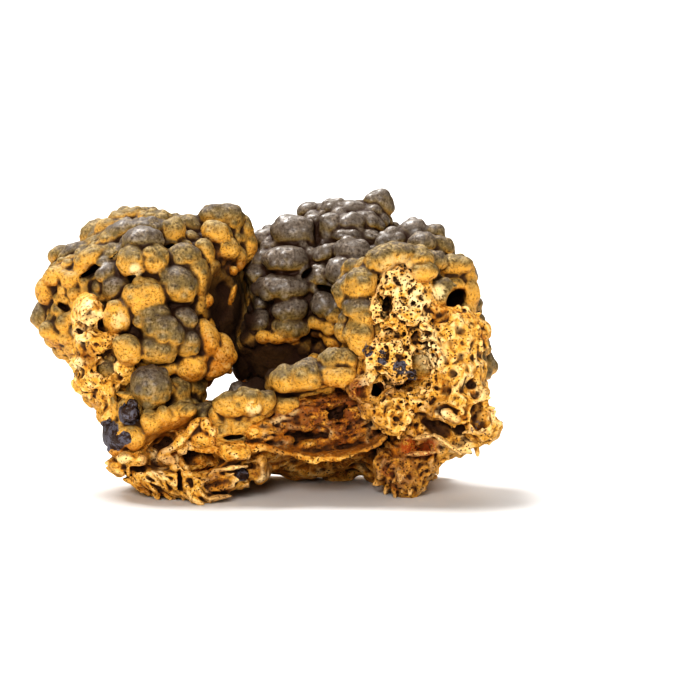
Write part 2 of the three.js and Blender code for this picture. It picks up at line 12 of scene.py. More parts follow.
import bmesh
import bpy
import numpy as np
from bpy.props import FloatProperty, FloatVectorProperty, PointerProperty
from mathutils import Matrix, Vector


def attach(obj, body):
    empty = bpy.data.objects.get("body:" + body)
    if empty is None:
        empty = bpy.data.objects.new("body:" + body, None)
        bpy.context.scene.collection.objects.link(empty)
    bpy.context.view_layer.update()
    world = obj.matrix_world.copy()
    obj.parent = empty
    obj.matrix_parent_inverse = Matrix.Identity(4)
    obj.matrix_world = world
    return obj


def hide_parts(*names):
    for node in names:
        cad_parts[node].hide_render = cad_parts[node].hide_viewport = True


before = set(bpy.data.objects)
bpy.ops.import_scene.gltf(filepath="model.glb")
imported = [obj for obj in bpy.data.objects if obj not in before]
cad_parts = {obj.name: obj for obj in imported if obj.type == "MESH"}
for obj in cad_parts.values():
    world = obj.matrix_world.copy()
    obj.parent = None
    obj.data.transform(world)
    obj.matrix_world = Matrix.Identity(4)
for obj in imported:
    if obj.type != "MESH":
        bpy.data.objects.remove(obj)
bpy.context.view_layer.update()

bl_info = {
    "name": "Mottramite specimen",
    "version": (1, 0, 0),
    "blender": (4, 5, 0),
    "location": "3D View > Sidebar > Specimen",
    "description": "Builds a piece of mottramite with its crust, broken matrix and stage",
    "category": "Object",
}

NODE = "mottramite_specimen"
MM = 0.001

# The front view, in millimetres and radians
EYE_DISTANCE = 480
EYE_ELEVATION = math.radians(6)
EYE_ACROSS = 10.8
EYE_UP = 21.2
EYE_LINE_HEIGHT = 19.26
BOX_CENTRE_X = -0.6
BOX_CENTRE_Y = 5.5
SENSOR = 36
VIEW_WIDTH = 94.6

# Forms under the crust: across, up, away, half width, half height, half depth, turn in degrees
LEFT_MASS = [
    [-16, 30, 5, 11, 8.3, 10, 0],
    [-24.8, 29.2, 6, 5.6, 5.6, 8, 35],
    [-17.8, 36, 8, 6.6, 3, 6, 10],
    [-7, 34.8, 7.5, 3.3, 4.8, 6.5, 0],
    [-16.5, 22.8, 2, 7, 6.4, 8.5, 0],
    [-9.3, 20.9, 2, 3.5, 3.3, 6.5, 0],
    [-26, 24.4, 4.5, 4.6, 4.2, 7, -40],
    [-8, 28.6, 9, 4.6, 8.6, 7, 0],
]
LEFT_FLANK = [
    [-21.5, 19, 2.5, 4.4, 6, 7, 0],
    [-15, 14.5, 3.5, 5.4, 5.5, 8, 0],
]
REAR_MASS = [
    [4.6, 30, 12, 8, 8.2, 8, 0],
    [9.4, 36, 14, 6, 4.4, 7, 0],
    [13.4, 38.4, 13.5, 2.6, 2.4, 4, 0],
    [0.6, 22, 11, 5.7, 6.2, 6.5, 0],
    [12.5, 27, 9.5, 6.6, 9.8, 8.5, 0],
    [16.8, 33, 11.5, 3.8, 4.2, 6, 0],
    [7, 15, 10.5, 9, 7, 8, 0],
]
RIGHT_SHOULDER = [
    [20.8, 31.4, 7.5, 4.6, 5, 7, 0],
    [24.4, 28.6, 4.5, 3.2, 5, 6.5, 20],
    [25, 21.5, 3.5, 4, 6, 7.5, 0],
    [19.5, 24, 3.5, 7.5, 9, 8, 0],
]
RIM = [
    [-3.2, 13.4, -6.2, 3.8, 1.7, 3.4, 4],
    [4.2, 16.9, -4.8, 3.8, 1.8, 3.6, 3],
    [9.2, 18.4, -5, 2.6, 2, 3.4, 0],
]
NECK = [
    [-16.2, 15.6, -2.4, 3, 2.8, 5, 0],
    [-12.4, 12.6, -1.4, 3.4, 2.6, 4.6, 0],
    [-10.8, 16.2, 1, 1.8, 2.2, 4, 0],
    [-4.2, 10.4, -1.6, 7, 3.2, 6, 0],
    [6.5, 12.4, -0.6, 9.6, 4, 6.2, 0],
]
NECK_VEIL = [-5.6, 11.2, -3.6, 4.6, 3.4, 4.8, 10]
UNDERSIDE = [
    [-14.2, 7.6, 0, 6.6, 4.8, 8, 0],
    [-3.6, 8.6, 1.5, 7.2, 4.2, 7.5, 0],
    [7, 10.4, 2, 9.4, 4.4, 8.5, 0],
    [21, 13, 2.5, 7, 6.4, 8, 0],
    [18.6, 7, 1.5, 3.8, 5.2, 6.8, 0],
    [-9.6, 8.4, 9.4, 8, 6, 7, 0],
    [4.4, 9.8, 9.6, 11, 6, 7.6, 0],
    [17, 9.6, 9.4, 6.4, 7, 7, 0],
    [-12, 5, 11.4, 4.6, 5, 4.4, 0],
    [17.4, 5.4, 11.4, 4.6, 5.4, 4.4, 0],
]

# Broken, craggy forms: the same columns
SPONGY_FACE = [
    [18.2, 27.6, -3.6, 5, 7, 6.4, 22],
    [16.2, 20, -5.6, 4.6, 3.8, 5.4, 0],
    [24.2, 23.2, -3.4, 5.4, 4.2, 6, -12],
    [25, 18.4, -3, 4.2, 3.8, 5.6, 0],
    [28.2, 23.6, -1, 2, 1.7, 4.6, 0],
    [14.3, 26.6, -7, 1.3, 2.6, 4, 12],
    [12.5, 16.2, -7, 2.5, 2, 3.4, 25],
    [16.8, 13, -6.4, 3.1, 3.6, 4.8, 0],
    [13.4, 13.6, -5, 2.2, 2, 3.8, -30],
    [25.2, 14.2, -3.8, 3.1, 3.8, 5.2, 0],
    [28, 15.6, -3, 1.7, 2.8, 4.4, 25],
    [28.6, 11, -3.2, 3, 2.7, 4.6, 0],
    [21.4, 13.8, -3.8, 3, 2.8, 4.8, 0],
    [22, 9.6, -1.6, 5, 2.8, 5.4, -16],
]
RIGHT_FOOT = [
    [18.4, 5, -2.6, 2.8, 4.2, 4.8, 0],
    [21, 6.2, -2.4, 2.1, 2.2, 3.8, 25],
    [23, 6.8, -3, 1, 1.4, 2.4, 0],
    [15.3, 5.6, -1.8, 1.5, 3, 3.8, -24],
]
BROKEN_LEFT_EDGE = [
    [-24.6, 26.2, -2.6, 2.2, 2.9, 5.4, 0],
    [-23.2, 22.4, -3, 3.8, 2.4, 5.4, 10],
    [-24.6, 19.6, -2.6, 2.6, 2.1, 4.6, 0],
    [-24, 17, -2.8, 2.6, 2, 4.6, 0],
    [-22, 15.2, -3, 2, 2.4, 4.2, 0],
    [-21.6, 12.6, -3.4, 2.2, 2.2, 4.4, 15],
    [-19.6, 19.2, -2.2, 2.6, 3.6, 5.2, 0],
]
LOWER_LEFT = [
    [-16.6, 11, -4.4, 5, 2.8, 5.4, 14],
    [-20.6, 9.4, -4.6, 2.5, 2.6, 4.6, 0],
    [-18, 6.4, -4.2, 3, 2, 5, 0],
    [-20.4, 5.5, -4.2, 1.3, 1.1, 3.4, 0],
    [-15.2, 4.4, -4.8, 3.4, 2.2, 5, -32],
    [-12.2, 3.4, -5.6, 2.4, 2, 5, -10],
    [-10.1, 2, -7.6, 1.6, 2.1, 4, 32],
    [-6.8, 3.5, -5.6, 3.8, 2, 5, 10],
    [-4.8, 7.2, -5, 3, 2, 5, 0],
    [-1.3, 5.6, -3.2, 1.5, 2.6, 4.4, 0],
    [-17.4, 3.4, -3.6, 1.5, 1.1, 3.4, 0],
]

# Lobes of the crust: across, up, half width, half height, turn, lift out of the face behind, and tint:
# 0 grey, 0.35 olive, 0.7 ochre, 1 orange
LEFT_LOBES = [
    [-28.2, 33.8, 1.3, 1.4, 0, 0, 0.5],
    [-26.2, 34.5, 1.8, 1, 20, 0, 0.35],
    [-24.2, 33.7, 2, 1.2, 25, 1, 0.6],
    [-28.6, 31.2, 1.7, 1.2, 20, 0, 0.75],
    [-29.9, 29.2, 1.6, 1.7, 0, 0, 0.7],
    [-30.4, 25.8, 1.5, 1.7, 0, 0, 0.35],
    [-29.4, 23.6, 1.6, 1.1, -35, 0, 0.6],
    [-22.1, 37.4, 1.3, 1.3, 0, 0, 0.7],
    [-20.4, 38.5, 1.4, 1.3, 0, 0, 0.7],
    [-18.2, 39.1, 1.7, 1.2, 0, 0, 0.65],
    [-15.2, 38.9, 1.7, 1.1, 0, 0, 0.6],
    [-19.9, 37.2, 1.9, 1.3, 25, 0.8, 0.3],
    [-16.6, 37.6, 2.4, 1.2, 5, 1, 0.35],
    [-17.2, 35.8, 2.3, 1.8, 0, 1.6, 0.25],
    [-13.3, 37, 1.4, 1.9, -30, 0.6, 0.6],
    [-10.9, 37.6, 1.8, 1.6, 0, 0, 0.5],
    [-7.6, 39.1, 1.8, 1.5, 0, 0, 0.4],
    [-5.7, 38.9, 1.8, 1.8, 0, 0, 0.4],
    [-7.4, 37, 1.6, 1.4, -30, 1, 0.7],
    [-3.7, 37.2, 1.2, 1.9, 0, 0, 0.55],
    [-3.4, 35, 1.3, 1.7, 0, 0, 0.6],
    [-5.8, 34.8, 1.3, 1.2, 0, 0.4, 0.7],
    [-18.5, 33.1, 1.8, 1.9, 0, 1.4, 0.6],
    [-15.6, 33.1, 1.6, 2, 0, 1, 0.6],
    [-11.8, 33.8, 1.9, 1.6, 0, 0.6, 0.45],
    [-9, 34.2, 1.3, 1.7, 0, 0.2, 0.6],
    [-10.1, 31.2, 1.7, 2.4, 12, 0, 0.55],
    [-12.6, 30, 2.4, 2, -25, 1, 0.35],
    [-16.9, 28.4, 2.7, 2.2, 20, 1.2, 0.65],
    [-21, 29.6, 1.4, 1.5, 0, 0, 0.2],
    [-21.9, 31.6, 1.4, 1.3, 0, 0, 0.25],
    [-12.6, 27.1, 1.4, 1, 0, 0, 0.5],
    [-16, 25.9, 2.2, 1.8, 0, 1, 0.3],
    [-14.6, 23.9, 2.7, 1.9, -30, 1, 0.3],
    [-11.9, 25.1, 1.7, 1.7, 0, 1.4, 0.25],
    [-15.3, 21.5, 2.4, 1.8, 0, 0.6, 0.35],
    [-11.6, 22.3, 1.9, 1.7, -20, 1.4, 0.3],
    [-8.5, 22.8, 1.5, 2.2, 20, 0.6, 1.0],
    [-6.7, 21, 1.6, 2, 0, 0.2, 1.0],
    [-7.5, 19.1, 1.9, 1.6, 0, 0, 1.0],
    [-10.8, 19.2, 1.8, 1.9, 0, 1, 0.8],
    [-14, 19, 1.9, 1, 0, 0, 0.6],
    [-20.4, 25.7, 1.8, 2, -20, 2, 0.7],
    [-19.2, 21.3, 1.6, 1.8, 25, 2.2, 0.65],
    [-26.7, 29, 1.3, 1.3, 0, 3, 0.7],
]
# Lobes on the rim of the dark wall, which stand where the wall is hollowed out
WALL_LOBES = [
    [-8.4, 22.8, 1.3, 1.7, 15, 0.6, 1.0],
    [-6.5, 21.1, 1.4, 2, 10, 0.4, 1.05],
    [-8, 24.3, 0.9, 0.6, 0, 0.5, 0.2],
    [-10.4, 19, 1.6, 1.7, 0, 1, 1.0],
    [-7.4, 19.2, 1.5, 1.4, 0, 0.3, 1.1],
    [-9.9, 24.6, 0.9, 1.2, 0, 0.8, 0.35],
    [-5.8, 34.9, 1.2, 1.2, 0, 0.2, 1.0],
    [-3.4, 35.2, 1.4, 1.6, 0, 0, 0.9],
    [-7.6, 34.2, 0.9, 1, 0, 0.2, 1.0],
    [-4.6, 33.2, 1.1, 1.2, 0, -0.6, 1.0],
    [-3.4, 32.6, 1, 1.3, 0, -0.8, 1.0],
    [-6.4, 32.8, 1, 1.2, 0, -1.4, 1.05],
]
NECK_LOBES = [
    [-16.1, 16.2, 2.3, 2.4, 0, 0.4, 0.25],
    [-12.4, 15.2, 1.3, 1.9, 0, 2.6, 0.5],
    [-11.8, 13, 1.5, 1, 0, 2, 0.7],
]
RIM_LOBES = [
    [-8.4, 12.4, 1.6, 1.5, 0, 0, 0.45],
    [-4.2, 15.8, 1.3, 1, 0, 0, 0.2],
    [-1.7, 16.2, 1.3, 1, 0, 0, 0.15],
    [-5.4, 13.9, 1.9, 1.5, 0, 0.1, 0.6],
    [-3, 14.2, 1.8, 1.5, 0, 0.3, 0.6],
    [-0.9, 14.2, 1.4, 1.2, 0, 0, 0.5],
    [-6.9, 11.9, 1.2, 1.5, 0, 0, 0.5],
    [0.2, 15.2, 1.3, 0.9, 0, 0, 0.3],
    [2, 14, 1.6, 1.2, 0, 0, 0.6],
    [2.2, 17.1, 1.9, 1.6, 0, 0, 0.5],
    [4.8, 17.6, 1.9, 1.8, 0, 0.2, 0.45],
    [6.9, 17.7, 1.3, 1.4, 0, 0, 0.6],
    [5.5, 18.9, 1.5, 1, 0, 0, 0.4],
    [8.4, 19.6, 1.5, 1.6, 0, 0, 0.5],
    [10.1, 19.8, 1.5, 1.5, 0, 0, 0.5],
    [9.2, 17.6, 1.9, 1.2, 0, 0.4, 0.8],
]
REAR_LOBES = [
    [-0.7, 36, 1.3, 1.3, 0, 0, 0.1],
    [3.3, 37, 2.5, 2, 0, 0, 0.08],
    [2.4, 38.4, 1.4, 0.9, 20, 0, 0.12],
    [5.4, 39.8, 1.5, 1.2, 0, 0, 0.15],
    [8.4, 40.1, 1.6, 1.3, 0, 0, 0.1],
    [11, 39.9, 1.9, 1.3, 0, 0, 0.15],
    [8.2, 38.1, 1.3, 1.4, 0, 0.2, 0.1],
    [10.9, 38.2, 1.6, 1.3, 0, 0.2, 0.12],
    [13.2, 38.4, 1.9, 1.2, -20, 0, 0.2],
    [14.6, 40.7, 1.75, 1.75, 0, 0.4, 0.2],
    [10.4, 36.6, 1.8, 0.9, 0, 0.4, 0.05],
    [13.3, 36.5, 1.2, 0.9, 0, 0.2, 0.1],
    [7.7, 34.3, 1.9, 1, 22, 0.8, 0.05],
    [11.3, 34.3, 2.2, 1.6, -15, 1.2, 0.0],
    [9.9, 31.8, 2, 1.7, 0, 1.2, 0.0],
    [6.9, 31.3, 1.2, 1.3, 0, 0.4, 0.05],
    [2.2, 33.4, 2.5, 1.6, 0, 0.2, 0.05],
    [-1.1, 33.4, 1.2, 1.1, 0, 0, 0.1],
    [-1.7, 31.4, 1.5, 1.3, 0, 0, 0.1],
    [1.6, 29.6, 3.2, 1.5, 0, 0.4, 0.0],
    [-1.3, 27.5, 1.5, 1.2, 0, 0.2, 0.1],
    [2.7, 26.7, 2, 1.6, 0, 0.8, 0.05],
    [-1.6, 25, 1.5, 1.4, 0, 0.6, 0.1],
    [2.6, 24.4, 2.2, 1.5, 0, 0.6, 0.3],
    [-4, 25.2, 1.2, 1.6, 0, 0, 0.3],
    [-2.5, 22.7, 1.3, 1, 0, 0, 0.7],
    [7.3, 27.4, 1.5, 1.5, 0, 1, 0.1],
    [6.9, 25, 1.6, 1, 0, 0.6, 0.6],
    [-3.9, 19.2, 1, 1.8, 0, 0, 0.5],
    [-0.8, 23, 1, 0.7, 0, 0.2, 0.95],
    [1, 22.8, 1.1, 0.7, 0, 0.3, 0.95],
    [2.8, 22.9, 1.1, 0.7, 0, 0.3, 0.9],
    [4.3, 23.5, 0.8, 0.6, 0, 0.2, 0.9],
    [6.8, 23.6, 1.1, 0.7, 0, 0.2, 0.9],
    [16.6, 35.8, 2, 1.4, 0, 0.6, 0.15],
    [18.1, 36.3, 1.4, 1.4, 0, 0, 0.15],
]
SHOULDER_LOBES = [
    [19.4, 37, 1.7, 1.6, 0, 0, 0.1],
    [22.2, 36.9, 1.2, 1.1, 0, 0, 0.3],
    [20.6, 35.5, 1.6, 1.4, 0, 0.6, 0.3],
    [23, 35.3, 1.7, 1.1, -15, 0.4, 0.4],
    [24.4, 32.5, 2.3, 1.3, 8, 0.6, 0.6],
    [26.2, 31.2, 1.3, 1.7, 15, 0, 0.65],
    [27, 28.8, 1.1, 1.8, 0, 0, 0.7],
]
FACE_LOBES = [
    [10.4, 28.9, 1.5, 1.7, 0, 0.4, 0.38],
    [12.2, 30.2, 2, 1.7, 45, 1, 0.53],
    [13.2, 32, 1.5, 1.5, 0, 0.6, 0.58],
    [15.1, 33.6, 2.1, 1.5, 30, 1.2, 0.53],
    [17.3, 34.3, 1.9, 1.3, 0, 1, 0.48],
    [20.2, 33.3, 1.5, 1.2, 0, 2, 0.63],
    [20.8, 31.6, 1.4, 1.1, 20, 2.4, 0.63],
    [22.5, 33.3, 1.2, 1.1, 0, 1, 0.38],
    [11.8, 27, 1.7, 1.3, 0, 0.6, 0.28],
    [10.9, 25.4, 1.3, 1.1, 0, 0.4, 0.28],
    [10.5, 23.6, 1.5, 1.4, -30, 0.6, 0.43],
    [12.1, 23.4, 1.6, 2.2, 0, 1, 0.48],
    [12.4, 25.6, 1.3, 1.4, 0, 0.8, 0.53],
    [23, 28.9, 1.8, 1.7, 0, 2.4, 0.48],
]

# The crust round the left and the top of the spongy face
FACE_RIM = [
    [12.6, 27.2, -2.6, 2.7, 6.4, 5.4, 14],
    [12, 23.6, -2.6, 1.9, 2.6, 4.6, 0],
    [16.2, 32.4, -2.6, 3.6, 2.6, 5, 25],
    [20.6, 32, -1.5, 2.2, 2.6, 4.4, 0],
]

# Hollows, caves and the gap that daylight shows through: the columns of the forms under the crust
HOLLOWS = [
    [-6.6, 16.5, 5, 1.1, 2.1, 40, -40],
    [7.4, 4, -5, 7, 3.7, 12.5, 0],
    [15.7, 27.1, -8.5, 0.7, 1.6, 4, -12],
    [17.3, 23.2, -10.5, 1.2, 1, 3.6, 0],
    [25, 28.2, -1.5, 1.7, 1.3, 5, 35],
    [-24.4, 31.7, -3.2, 1.7, 0.35, 5, 28],
    [-28, 27, -3, 0.8, 0.4, 4.6, -30],
    [-14.2, 8.2, -9, 3.1, 1.1, 4.5, 25],
    [-9.4, 6.2, -8.5, 3, 0.9, 4.5, 0],
    [4.3, 9.6, -6.6, 3.2, 0.9, 3, 0],
    [9.4, 12.8, -6.6, 1.7, 0.8, 2.6, 8],
    [22.8, 10.5, -8.6, 3.4, 1.2, 4.4, -28],
    [27.1, 16.5, -9, 0.9, 0.9, 3.4, 0],
    [16.2, 16.3, -11, 2.4, 0.7, 3.2, -8],
    [-18.8, 13.5, -9.6, 1.7, 1.7, 2.2, 0],
    [22.2, 20.7, -10.6, 2.2, 1.7, 2.6, 0],
    [-5.6, 27.2, -4.4, 2.9, 6.3, 8.6, 4],
]

# Narrow dark crevices between lobes and under the nose
CREVICES = [
    [-21, 34, -0.6, 1.8, 0.5, 2.6, 45],
    [-18.4, 30.5, -4.8, 0.4, 1.1, 1.6, 30],
    [-14.2, 31.2, -4.8, 0.4, 1.2, 1.6, 20],
    [-13.4, 35, -1.6, 1, 0.4, 1.8, 30],
    [6.3, 37.2, 7.2, 0.3, 1.8, 2, 4],
    [5, 31.6, 5, 1.2, 0.35, 2, 45],
    [7.8, 29.4, 4, 1.5, 0.4, 2, -15],
    [10, 28, 2.6, 0.5, 1.6, 2.6, 0],
    [-2.9, 28.5, 7, 0.5, 3, 4, 10],
    [-14.6, 8.6, -9, 3.2, 1.2, 5, 35],
    [-14.8, 6.6, -9.4, 2.4, 1.5, 4.4, 10],
    [-12.2, 3.9, -9.4, 0.35, 1.4, 3, 0],
    [-18, 5.1, -8.6, 1, 0.35, 2.4, -5],
    [-9.2, 6, -9.4, 2.1, 1, 4, 0],
    [-5, 9.4, -8.6, 1.8, 0.5, 3, 5],
    [-7.1, 2.9, -11, 2.1, 1.3, 2, 10],
    [21.3, 8.1, -9, 1.4, 0.6, 2.4, 0],
    [15.3, 13.9, -10.8, 0.5, 0.4, 1.4, 0],
    [11.7, 15.9, -10.4, 0.9, 0.7, 1.4, 0],
    [4, 15.2, -8, 3, 0.45, 3, 5],
]
BEADS = [
    [-8.6, 27.9, -1.8, 1, 1, 1.2, 0],
    [-7.9, 31.7, 0.6, 0.7, 0.7, 1.2, 0],
    [-4.9, 31.9, 2.2, 0.6, 0.7, 1.2, 0],
    [-5.1, 28.6, 4.2, 0.35, 1.5, 1, -18],
    [-9.9, 26.3, -1.2, 0.35, 0.9, 0.8, -20],
]

# Smooth walls in shade, which the crust's material paints dark brown as shade, and where no small lobes grow:
# the columns of the forms under the crust
SHADED_WALLS = [
    [-5.6, 27.2, -4.4, 2.9, 6.3, 8.6, 4],
    [0.6, 19, -0.6, 5.4, 3.7, 5.6, 0],
]
BARE = [
    [-5.4, 27, 2, 3.6, 6.6, 6, 0],
    [0.4, 18.6, 5, 6, 4.3, 6, 0],
]

# The smooth nose at the lower left, what sits on it, and the grey ball in its socket
NOSE = [
    [-15.6, 11, -4.6, 5.6, 1.8, 5.2, 19],
    [-11.9, 12.5, -5.4, 1.8, 0.8, 3.8, 20],
    [-20.2, 9.8, -4.6, 2.4, 2.5, 4.8, 0],
    [-19, 12.8, -4.6, 2.1, 2.3, 5.1, 0],
    [-17.6, 10, -3.8, 3, 2.2, 4.8, 0],
]
NOSE_LUMPS = [
    [-11.2, 12.9, 1, 0.7, 20, 0.2, 0.7],
    [-12.9, 13, 1.1, 0.8, 0, 0.3, 0.75],
    [-14.4, 12.3, 0.8, 1.2, 0, 0.2, 0.75],
    [-16.2, 11.6, 1, 1.4, 20, 0.2, 0.7],
    [-18.4, 9.4, 1.1, 1.4, 20, 0.4, 0.75],
    [-20.2, 7.4, 1.5, 0.6, -15, 0.3, 0.9],
    [-18.9, 15, 1.6, 0.4, -10, 0.6, 0.8],
    [-17.1, 13.8, 0.4, 1.4, 15, 0.6, 0.8],
    [-21, 13, 0.4, 1.6, 10, 0.6, 0.8],
]
SOCKET = [-18.9, 13.2, -10.2, 1.7, 1.8, 2.2, 0]
BALLS = [
    [-19, 12.6, -9.5, 1.2, 1.1, 1.2, 0],
    [-18.6, 13.9, -9.1, 0.7, 0.6, 0.8, 0],
]

# What stands in the hollows of the lower left and the lower right, with tints
LEFT_STRANDS = [
    [-10.5, 10.7, -7.6, 1.7, 0.7, 1.3, 54, 0.45],
    [-12.3, 8.7, -7.8, 1.8, 0.75, 1.3, 42, 0.6],
    [-14.1, 7.4, -7.8, 1.3, 0.7, 1.2, 28, 0.7],
    [-13.8, 6.3, -8.2, 0.9, 0.8, 1.1, 0, 0.9],
    [-13, 5.3, -8.3, 0.7, 0.7, 1, 0, 0.9],
    [-14.7, 6.7, -8, 0.6, 0.6, 0.9, 0, 0.8],
    [-13.2, 6.1, -8.6, 0.5, 0.5, 0.7, 0, 0.9],
    [-19.4, 6.6, -6.6, 1.5, 1, 3.2, 0, 0.7],
    [-17.5, 6.4, -6.9, 1.1, 0.9, 2.8, 0, 0.75],
    [-20.9, 5.7, -5.6, 1, 0.6, 2.4, 0, 0.2],
    [-9.1, 9.3, -6, 2.2, 1.8, 2.6, -20, 0.5],
    [-8.6, 11, -7.6, 0.9, 1.3, 1.4, 15, 0.45],
    [-7.7, 10.1, -7.6, 0.8, 0.9, 1.3, 0, 0.6],
    [-5, 7.3, -8, 2.1, 1.3, 2.2, 0, 0.35],
    [-6, 7.9, -8.6, 0.8, 0.7, 1.2, 0, 0.3],
    [-3.9, 7.6, -8.6, 0.9, 0.7, 1.2, 0, 0.5],
    [-10.6, 4.2, -8.4, 1.5, 0.6, 1.8, -12, 0.7],
    [-5.4, 5.2, -9, 2.7, 0.35, 1.9, 7, 1.2],
    [-3.7, 4.4, -9, 0.8, 0.5, 1, 0, 0.3],
    [-7.4, 1.2, -8.6, 2.4, 0.4, 2, 8, 1.1],
]
RIGHT_STRANDS = [
    [23.9, 8.5, -8.4, 2.4, 0.4, 2.6, -36, 0.8],
    [20.7, 9.4, -8.4, 1.8, 0.3, 2.4, 10, 1.1],
    [20.3, 7.2, -7.6, 2.2, 0.4, 2, 5, 1.2],
    [24.4, 12.3, -8, 1.6, 0.8, 1.6, -30, 1.2],
]

# Where the broken face is full of fine pores
SPONGY_ZONE = [17.2, 24.5, -8, 4.6, 12, 7, 14]

# Thin flakes on broken faces: the columns of a form that holds them, turn, sway, length and number
FLAKY_FOOT = [
    [-15.2, 3.6, -6, 5, 2.6, 5, -38, 12, 1.6, 120],
    [-20, 5, -6, 3.4, 2.4, 5, -30, 25, 1.2, 50],
    [-10, 1.8, -8, 2, 2, 4, -50, 12, 1.5, 30],
    [-6.5, 4, -7, 4, 2, 5, 8, 20, 1.3, 50],
]
FLAKY_WALL = [
    [7, 11.4, -5, 9, 3.6, 5, 8, 14, 1.4, 150],
    [3, 9.4, -6, 4, 2, 4, 0, 25, 1.0, 50],
    [17, 5, -3, 5, 5, 6, -70, 20, 1.2, 60],
]
FLAKY_EDGE = [[-24, 20, -5, 4, 7.5, 5, 30, 60, 1.0, 60]]
FLAKY_FACE = [
    [18.5, 6, -5, 4.5, 5, 5, 75, 22, 1.3, 90],
    [25, 21, -7, 7, 8, 4, 25, 50, 1.1, 80],
    [23, 11, -5, 8, 5, 5, -25, 30, 1.2, 80],
    [17, 13, -8, 4, 4, 4, 0, 60, 0.9, 40],
]

# The ledge below the broken wall: points along its front edge, across, up and away
LEDGE_EDGE = [
    [-13, 8.2, -6],
    [-8, 7.5, -7.4],
    [-2, 8, -7.6],
    [2.5, 7.1, -7.8],
    [6, 6.2, -8],
    [10.5, 6.6, -7.8],
    [14, 8, -7.2],
    [16, 9.6, -6.4],
]
LEDGE_THICKNESS = 0.9
LEDGE_DEPTH = 9
LEDGE_RISE = 2.6

# Marks that are only colour: across, up, radius and strength, on what faces the front view
RUST_MARKS = [
    [12, 15.9, 1.8, 0.9],
    [16.5, 16, 1.6, 0.6],
    [3, 12, 4, 0.8],
    [9, 12, 5, 0.9],
    [13, 9.5, 3, 0.7],
    [2, 9.5, 3.5, 0.6],
    [17, 5, 3.6, 0.75],
    [20.5, 4.5, 3, 0.5],
    [-1.3, 5, 2, 0.5],
    [-7.1, 3, 2.2, 0.7],
    [-14.8, 6.6, 2.4, 0.5],
    [-24.8, 20.5, 1.5, 0.5],
    [22, 13.1, 1.8, 0.4],
]
RED_MARKS = [
    [18.7, 8.2, 1.3, 1.0],
    [21.4, 8, 1.5, 0.9],
    [20, 7.6, 1.2, 0.6],
    [15.9, 4.8, 0.9, 0.3],
    [11.8, 15.8, 0.8, 0.4],
]
SLATE_MARKS = [
    [-19, 12.6, 1.6, 1.0],
    [-18.6, 13.9, 0.9, 1.0],
    [-21.9, 10.4, 1.5, 1.0],
    [-22.4, 9, 1.6, 1.0],
    [-20.8, 8.7, 1.3, 0.8],
    [-19.6, 9.3, 1, 1.0],
    [-3.7, 4.4, 1, 1.0],
    [13.2, 21.1, 1, 0.6],
    [15.3, 20.2, 1.2, 0.6],
    [17.6, 18.9, 1.2, 0.6],
    [19.2, 17.8, 1, 0.6],
    [28.6, 10.4, 2, 0.3],
    [30.4, 11.6, 1.2, 0.3],
]
CREAM_MARKS = [
    [-24.5, 26, 2.2, 0.6],
    [-25.5, 23.3, 1.5, 0.6],
    [-20.5, 25.3, 1.3, 0.6],
    [-18.2, 32, 0.9, 0.9],
    [-26.1, 19.4, 0.9, 0.9],
    [21.8, 20.5, 2.2, 0.9],
    [21.5, 23, 1.5, 0.7],
    [17.3, 31.4, 2.6, 0.6],
    [19.6, 27, 2.6, 0.5],
    [23, 12.7, 1.1, 0.9],
    [22.8, 29, 1.1, 0.9],
    [28.3, 15.8, 1.4, 0.7],
    [-2.2, 13.3, 1.1, 0.8],
    [22, 8.6, 1.4, 0.5],
]

# The part of the crust that the front view hides is covered by a rule: lobes on a spiral over each form
HIDDEN_LOBES_PER_MASS = 34
HIDDEN_LOBE_RADIUS = (1.7, 2.9)
HIDDEN_LOBE_GAP = 0.62
BURIED_SHARE = 0.86
GOLDEN_ANGLE = math.pi * (3 - math.sqrt(5))
LOBE_INSET = 0.12
LOBE_SWELL = 1.26

# The clay: cell sizes, how softly forms flow into each other, and the room round them
CRUST_CELL = 0.24
SPONGE_CELL = 0.18
PORE_CELL = 0.15
FORM_BLEND = 1.1
LOBE_BLEND = 0.4
HOLLOW_BLEND = 0.5
FAR = 3.0
LOWEST = -3.5
SKIN_SAMPLE = 9000
SPACE = ((-40.0, 40.0), (-6.0, 50.0), (-26.0, 28.0))
MOST_TRIANGLES = 165_000
COAT_ROUGHNESS = 0.36

# The stage: half the table's side in metres, and each light's place and spread in degrees
TABLE_HALF = 3.0
LIGHTS = {
    "key": ((-0.38, 0.42, 1.0), 26),
    "back": ((0.05, 0.7, 0.9), 50),
    "front": ((-0.12, -1.0, 0.4), 24),
    "side": ((0.9, -0.4, 0.5), 60),
}


# Shapes in the front view's axes


def from_view(points):
    """Front view's across, up and away to the part's own axes, in millimetres"""
    spread = 1 + points[:, 2] / EYE_DISTANCE
    across = (points[:, 0] - EYE_ACROSS) * spread
    up = (points[:, 1] - EYE_UP) * spread
    away = points[:, 2]
    return np.stack(
        [
            EYE_ACROSS + across - BOX_CENTRE_X,
            up * math.sin(EYE_ELEVATION) + away * math.cos(EYE_ELEVATION) - BOX_CENTRE_Y,
            EYE_LINE_HEIGHT + up * math.cos(EYE_ELEVATION) - away * math.sin(EYE_ELEVATION),
        ],
        axis=1,
    )


def chance(number):
    """A repeatable number from 0 to 1 for a number"""
    scaled = math.sin(number * 12.9898 + 4.1414) * 43758.5453
    return scaled - math.floor(scaled)


def front_of(forms, across, up):
    """How far away the front of a group of forms is at a point of the front view, or None beside them"""
    nearest = None
    for cx, cy, cz, a, b, c, turn in forms:
        t = math.radians(turn)
        dx = across - cx
        dy = up - cy
        p = (dx * math.cos(t) + dy * math.sin(t)) / a
        q = (dy * math.cos(t) - dx * math.sin(t)) / b
        inside = 1 - p * p - q * q
        if inside > 0:
            front = cz - c * math.sqrt(inside)
            nearest = front if nearest is None else min(nearest, front)
    return nearest


